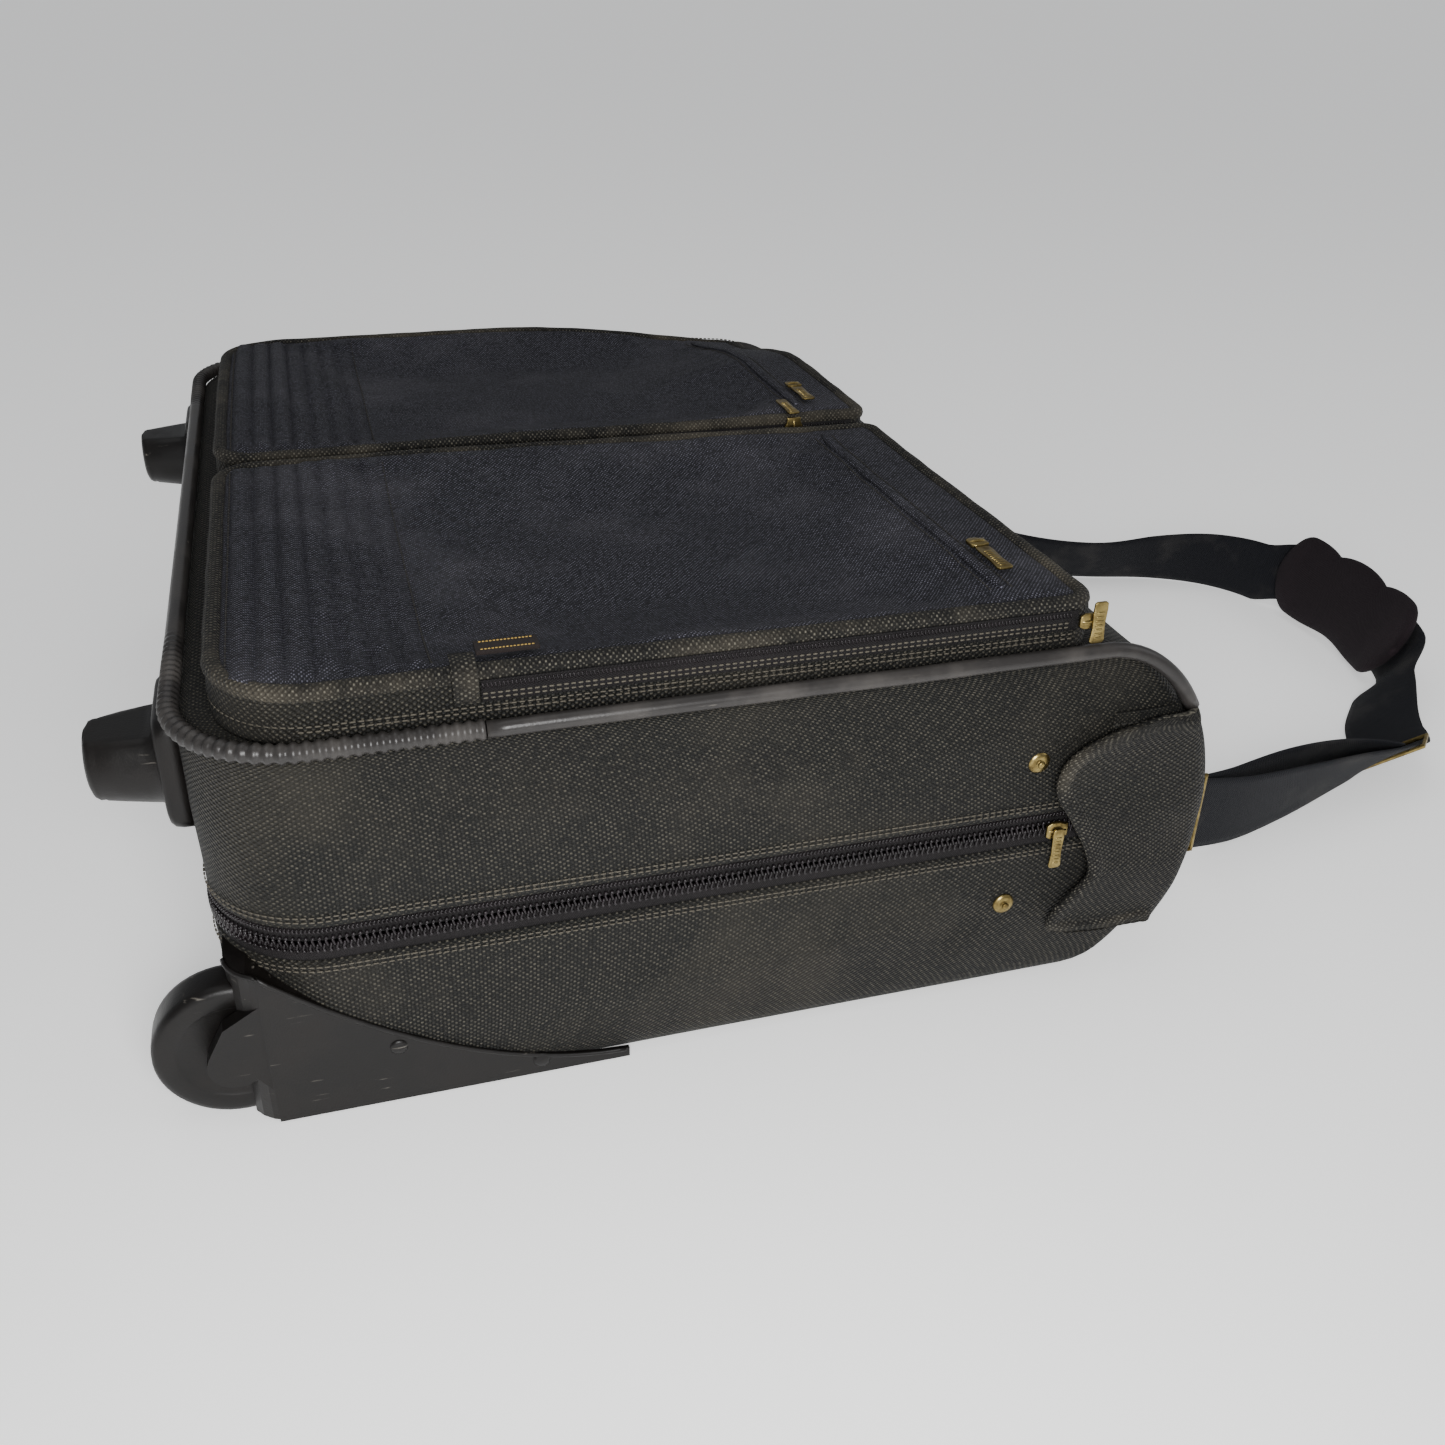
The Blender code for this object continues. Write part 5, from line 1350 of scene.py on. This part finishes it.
def shoulder_strap():
    """The webbing strap: one long band behind its pad, from hook to hook, with its near end doubled."""
    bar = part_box("right_snap_hook")[1].x - FOLD - 0.0012
    whole = [(bar, *END_RUN[0][1:]), *END_RUN[1:], *NEAR_RUN[:-1], *PAD_RUN[:-1], *FAR_RUN[:-1],
             (bar, *FAR_RUN[-1][1:])]
    run = strap_axes(whole)[0]
    behind = np.array([ease(y, -0.088, -0.062) * (1 - ease(y, 0.072, 0.098)) for y in run[:, 1]])
    band = webbing_band("strap_band", whole, 0.0088 * behind, 0.009 * behind)
    finish_piece(band, "back_half", "webbing", "strap_end", "strap_webbing", "strap_long_end")
    run_length(whole)
    near = whole[:len(END_RUN)]
    share = np.linspace(0, 1, len(strap_axes(near)[0]))
    under = -0.0035 - 0.013 * np.sin(math.pi * share) ** 1.3
    doubled = webbing_band("strap_doubled_end", near, under, 0 * share)
    finish_piece(doubled, "back_half", "webbing")
    run_length(near)

    run, across, face = strap_axes(PAD_RUN, 16)
    length = np.concatenate([[0], np.cumsum(np.linalg.norm(np.diff(run, axis=0), axis=1))])
    share = length / length[-1]
    rows = []
    for s, b, c, f in zip(share, run, across, face):
        end = min(s, 1 - s) * length[-1]
        tip = math.sqrt(max(0.0, 1 - (1 - min(1.0, end / 0.022)) ** 2))
        lobes = 0.84 + 0.16 * abs(math.sin(3 * math.pi * s)) ** 0.7
        top = 0.034 + 0.034 * max(0.12, tip) * lobes
        low = 0.034 - 0.034 * max(0.12, tip) * (0.97 - 0.04 * math.cos(4 * math.pi * s))
        ring = []
        for turn in np.linspace(0, 2 * math.pi, 36, endpoint=False):
            u, v = math.cos(turn), math.sin(turn)
            u = math.copysign(abs(u) ** 0.62, u)
            v = math.copysign(abs(v) ** 0.8, v)
            place = low + (top - low) * (u + 1) / 2
            fat = 0.0056 * (0.45 + 0.55 * max(0.1, tip))
            ring.append(b + c * place + f * (v * fat) + np.array((0, 0, 0.0045)))
        rows.append(ring)
    pad = outward(grid("shoulder_pad", rows, PAD_CLOTH, closed=True, ends=True))
    finish_piece(pad, "back_half", "pad_cloth", "strap_pad")


def refinish(name, finish):
    """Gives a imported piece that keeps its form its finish."""
    nodes[name].data.materials.clear()
    nodes[name].data.materials.append(finish)


def hardware():
    """Bright hardware: rings, hooks and adjuster keep their forms, and each hook gets a cast swivel."""
    for name in ("right_strap_ring", "right_snap_hook", "left_strap_ring", "left_snap_hook",
                 "strap_adjuster"):
        refinish(name, BRASS)
        nodes[name].data.shade_smooth()
    for side, _ in SIDES:
        low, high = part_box(f"{side}_snap_hook")
        y = (low.y + high.y) / 2
        z = high.z - 0.0085
        barrel = turned(f"{side}_swivel", [
            (0.0018, 0.0075), (0.0030, 0.0070), (0.0034, 0.0055), (0.0026, 0.0045), (0.0026, 0.0020),
            (0.0036, 0.0012), (0.0036, -0.0012), (0.0018, -0.002)], (high.x - 0.0142, y, z), (1, 0, 0), BRASS, 20)
        finish_piece(barrel, "back_half", "brass_plate")


studio()
soft_halves()
main_zip()
front_piping()
for side_word, _ in SIDES:
    pocket(side_word)
    pocket_zip(side_word)
label()
fold_cover()
for side_word, side_sign in SIDES:
    side_flap(side_word, side_sign)
studs()
wheels()
housing_details()
feet()
shoulder_strap()
hardware()
for zip_name, open_way in (("main", -1), ("right_pocket", -1), ("left_pocket", -1), ("right_cross", 1),
                           ("left_cross", 1)):
    slider_and_pull(zip_name, open_way)

for finish, kept_names in (
        (BOARD, ("back_board",)),
        (POLYPROPYLENE, ("right_wheel_housing", "left_wheel_housing", "release_button", "handle_grip",
                         "handle_bezel")),
        (STEEL, ("right_handle_sleeve", "left_handle_sleeve", "right_handle_tube", "left_handle_tube",
                 "right_axle", "left_axle")),
        (WEBBING, ("right_ring_tab", "left_ring_tab"))):
    for kept_name in kept_names:
        refinish(kept_name, finish)
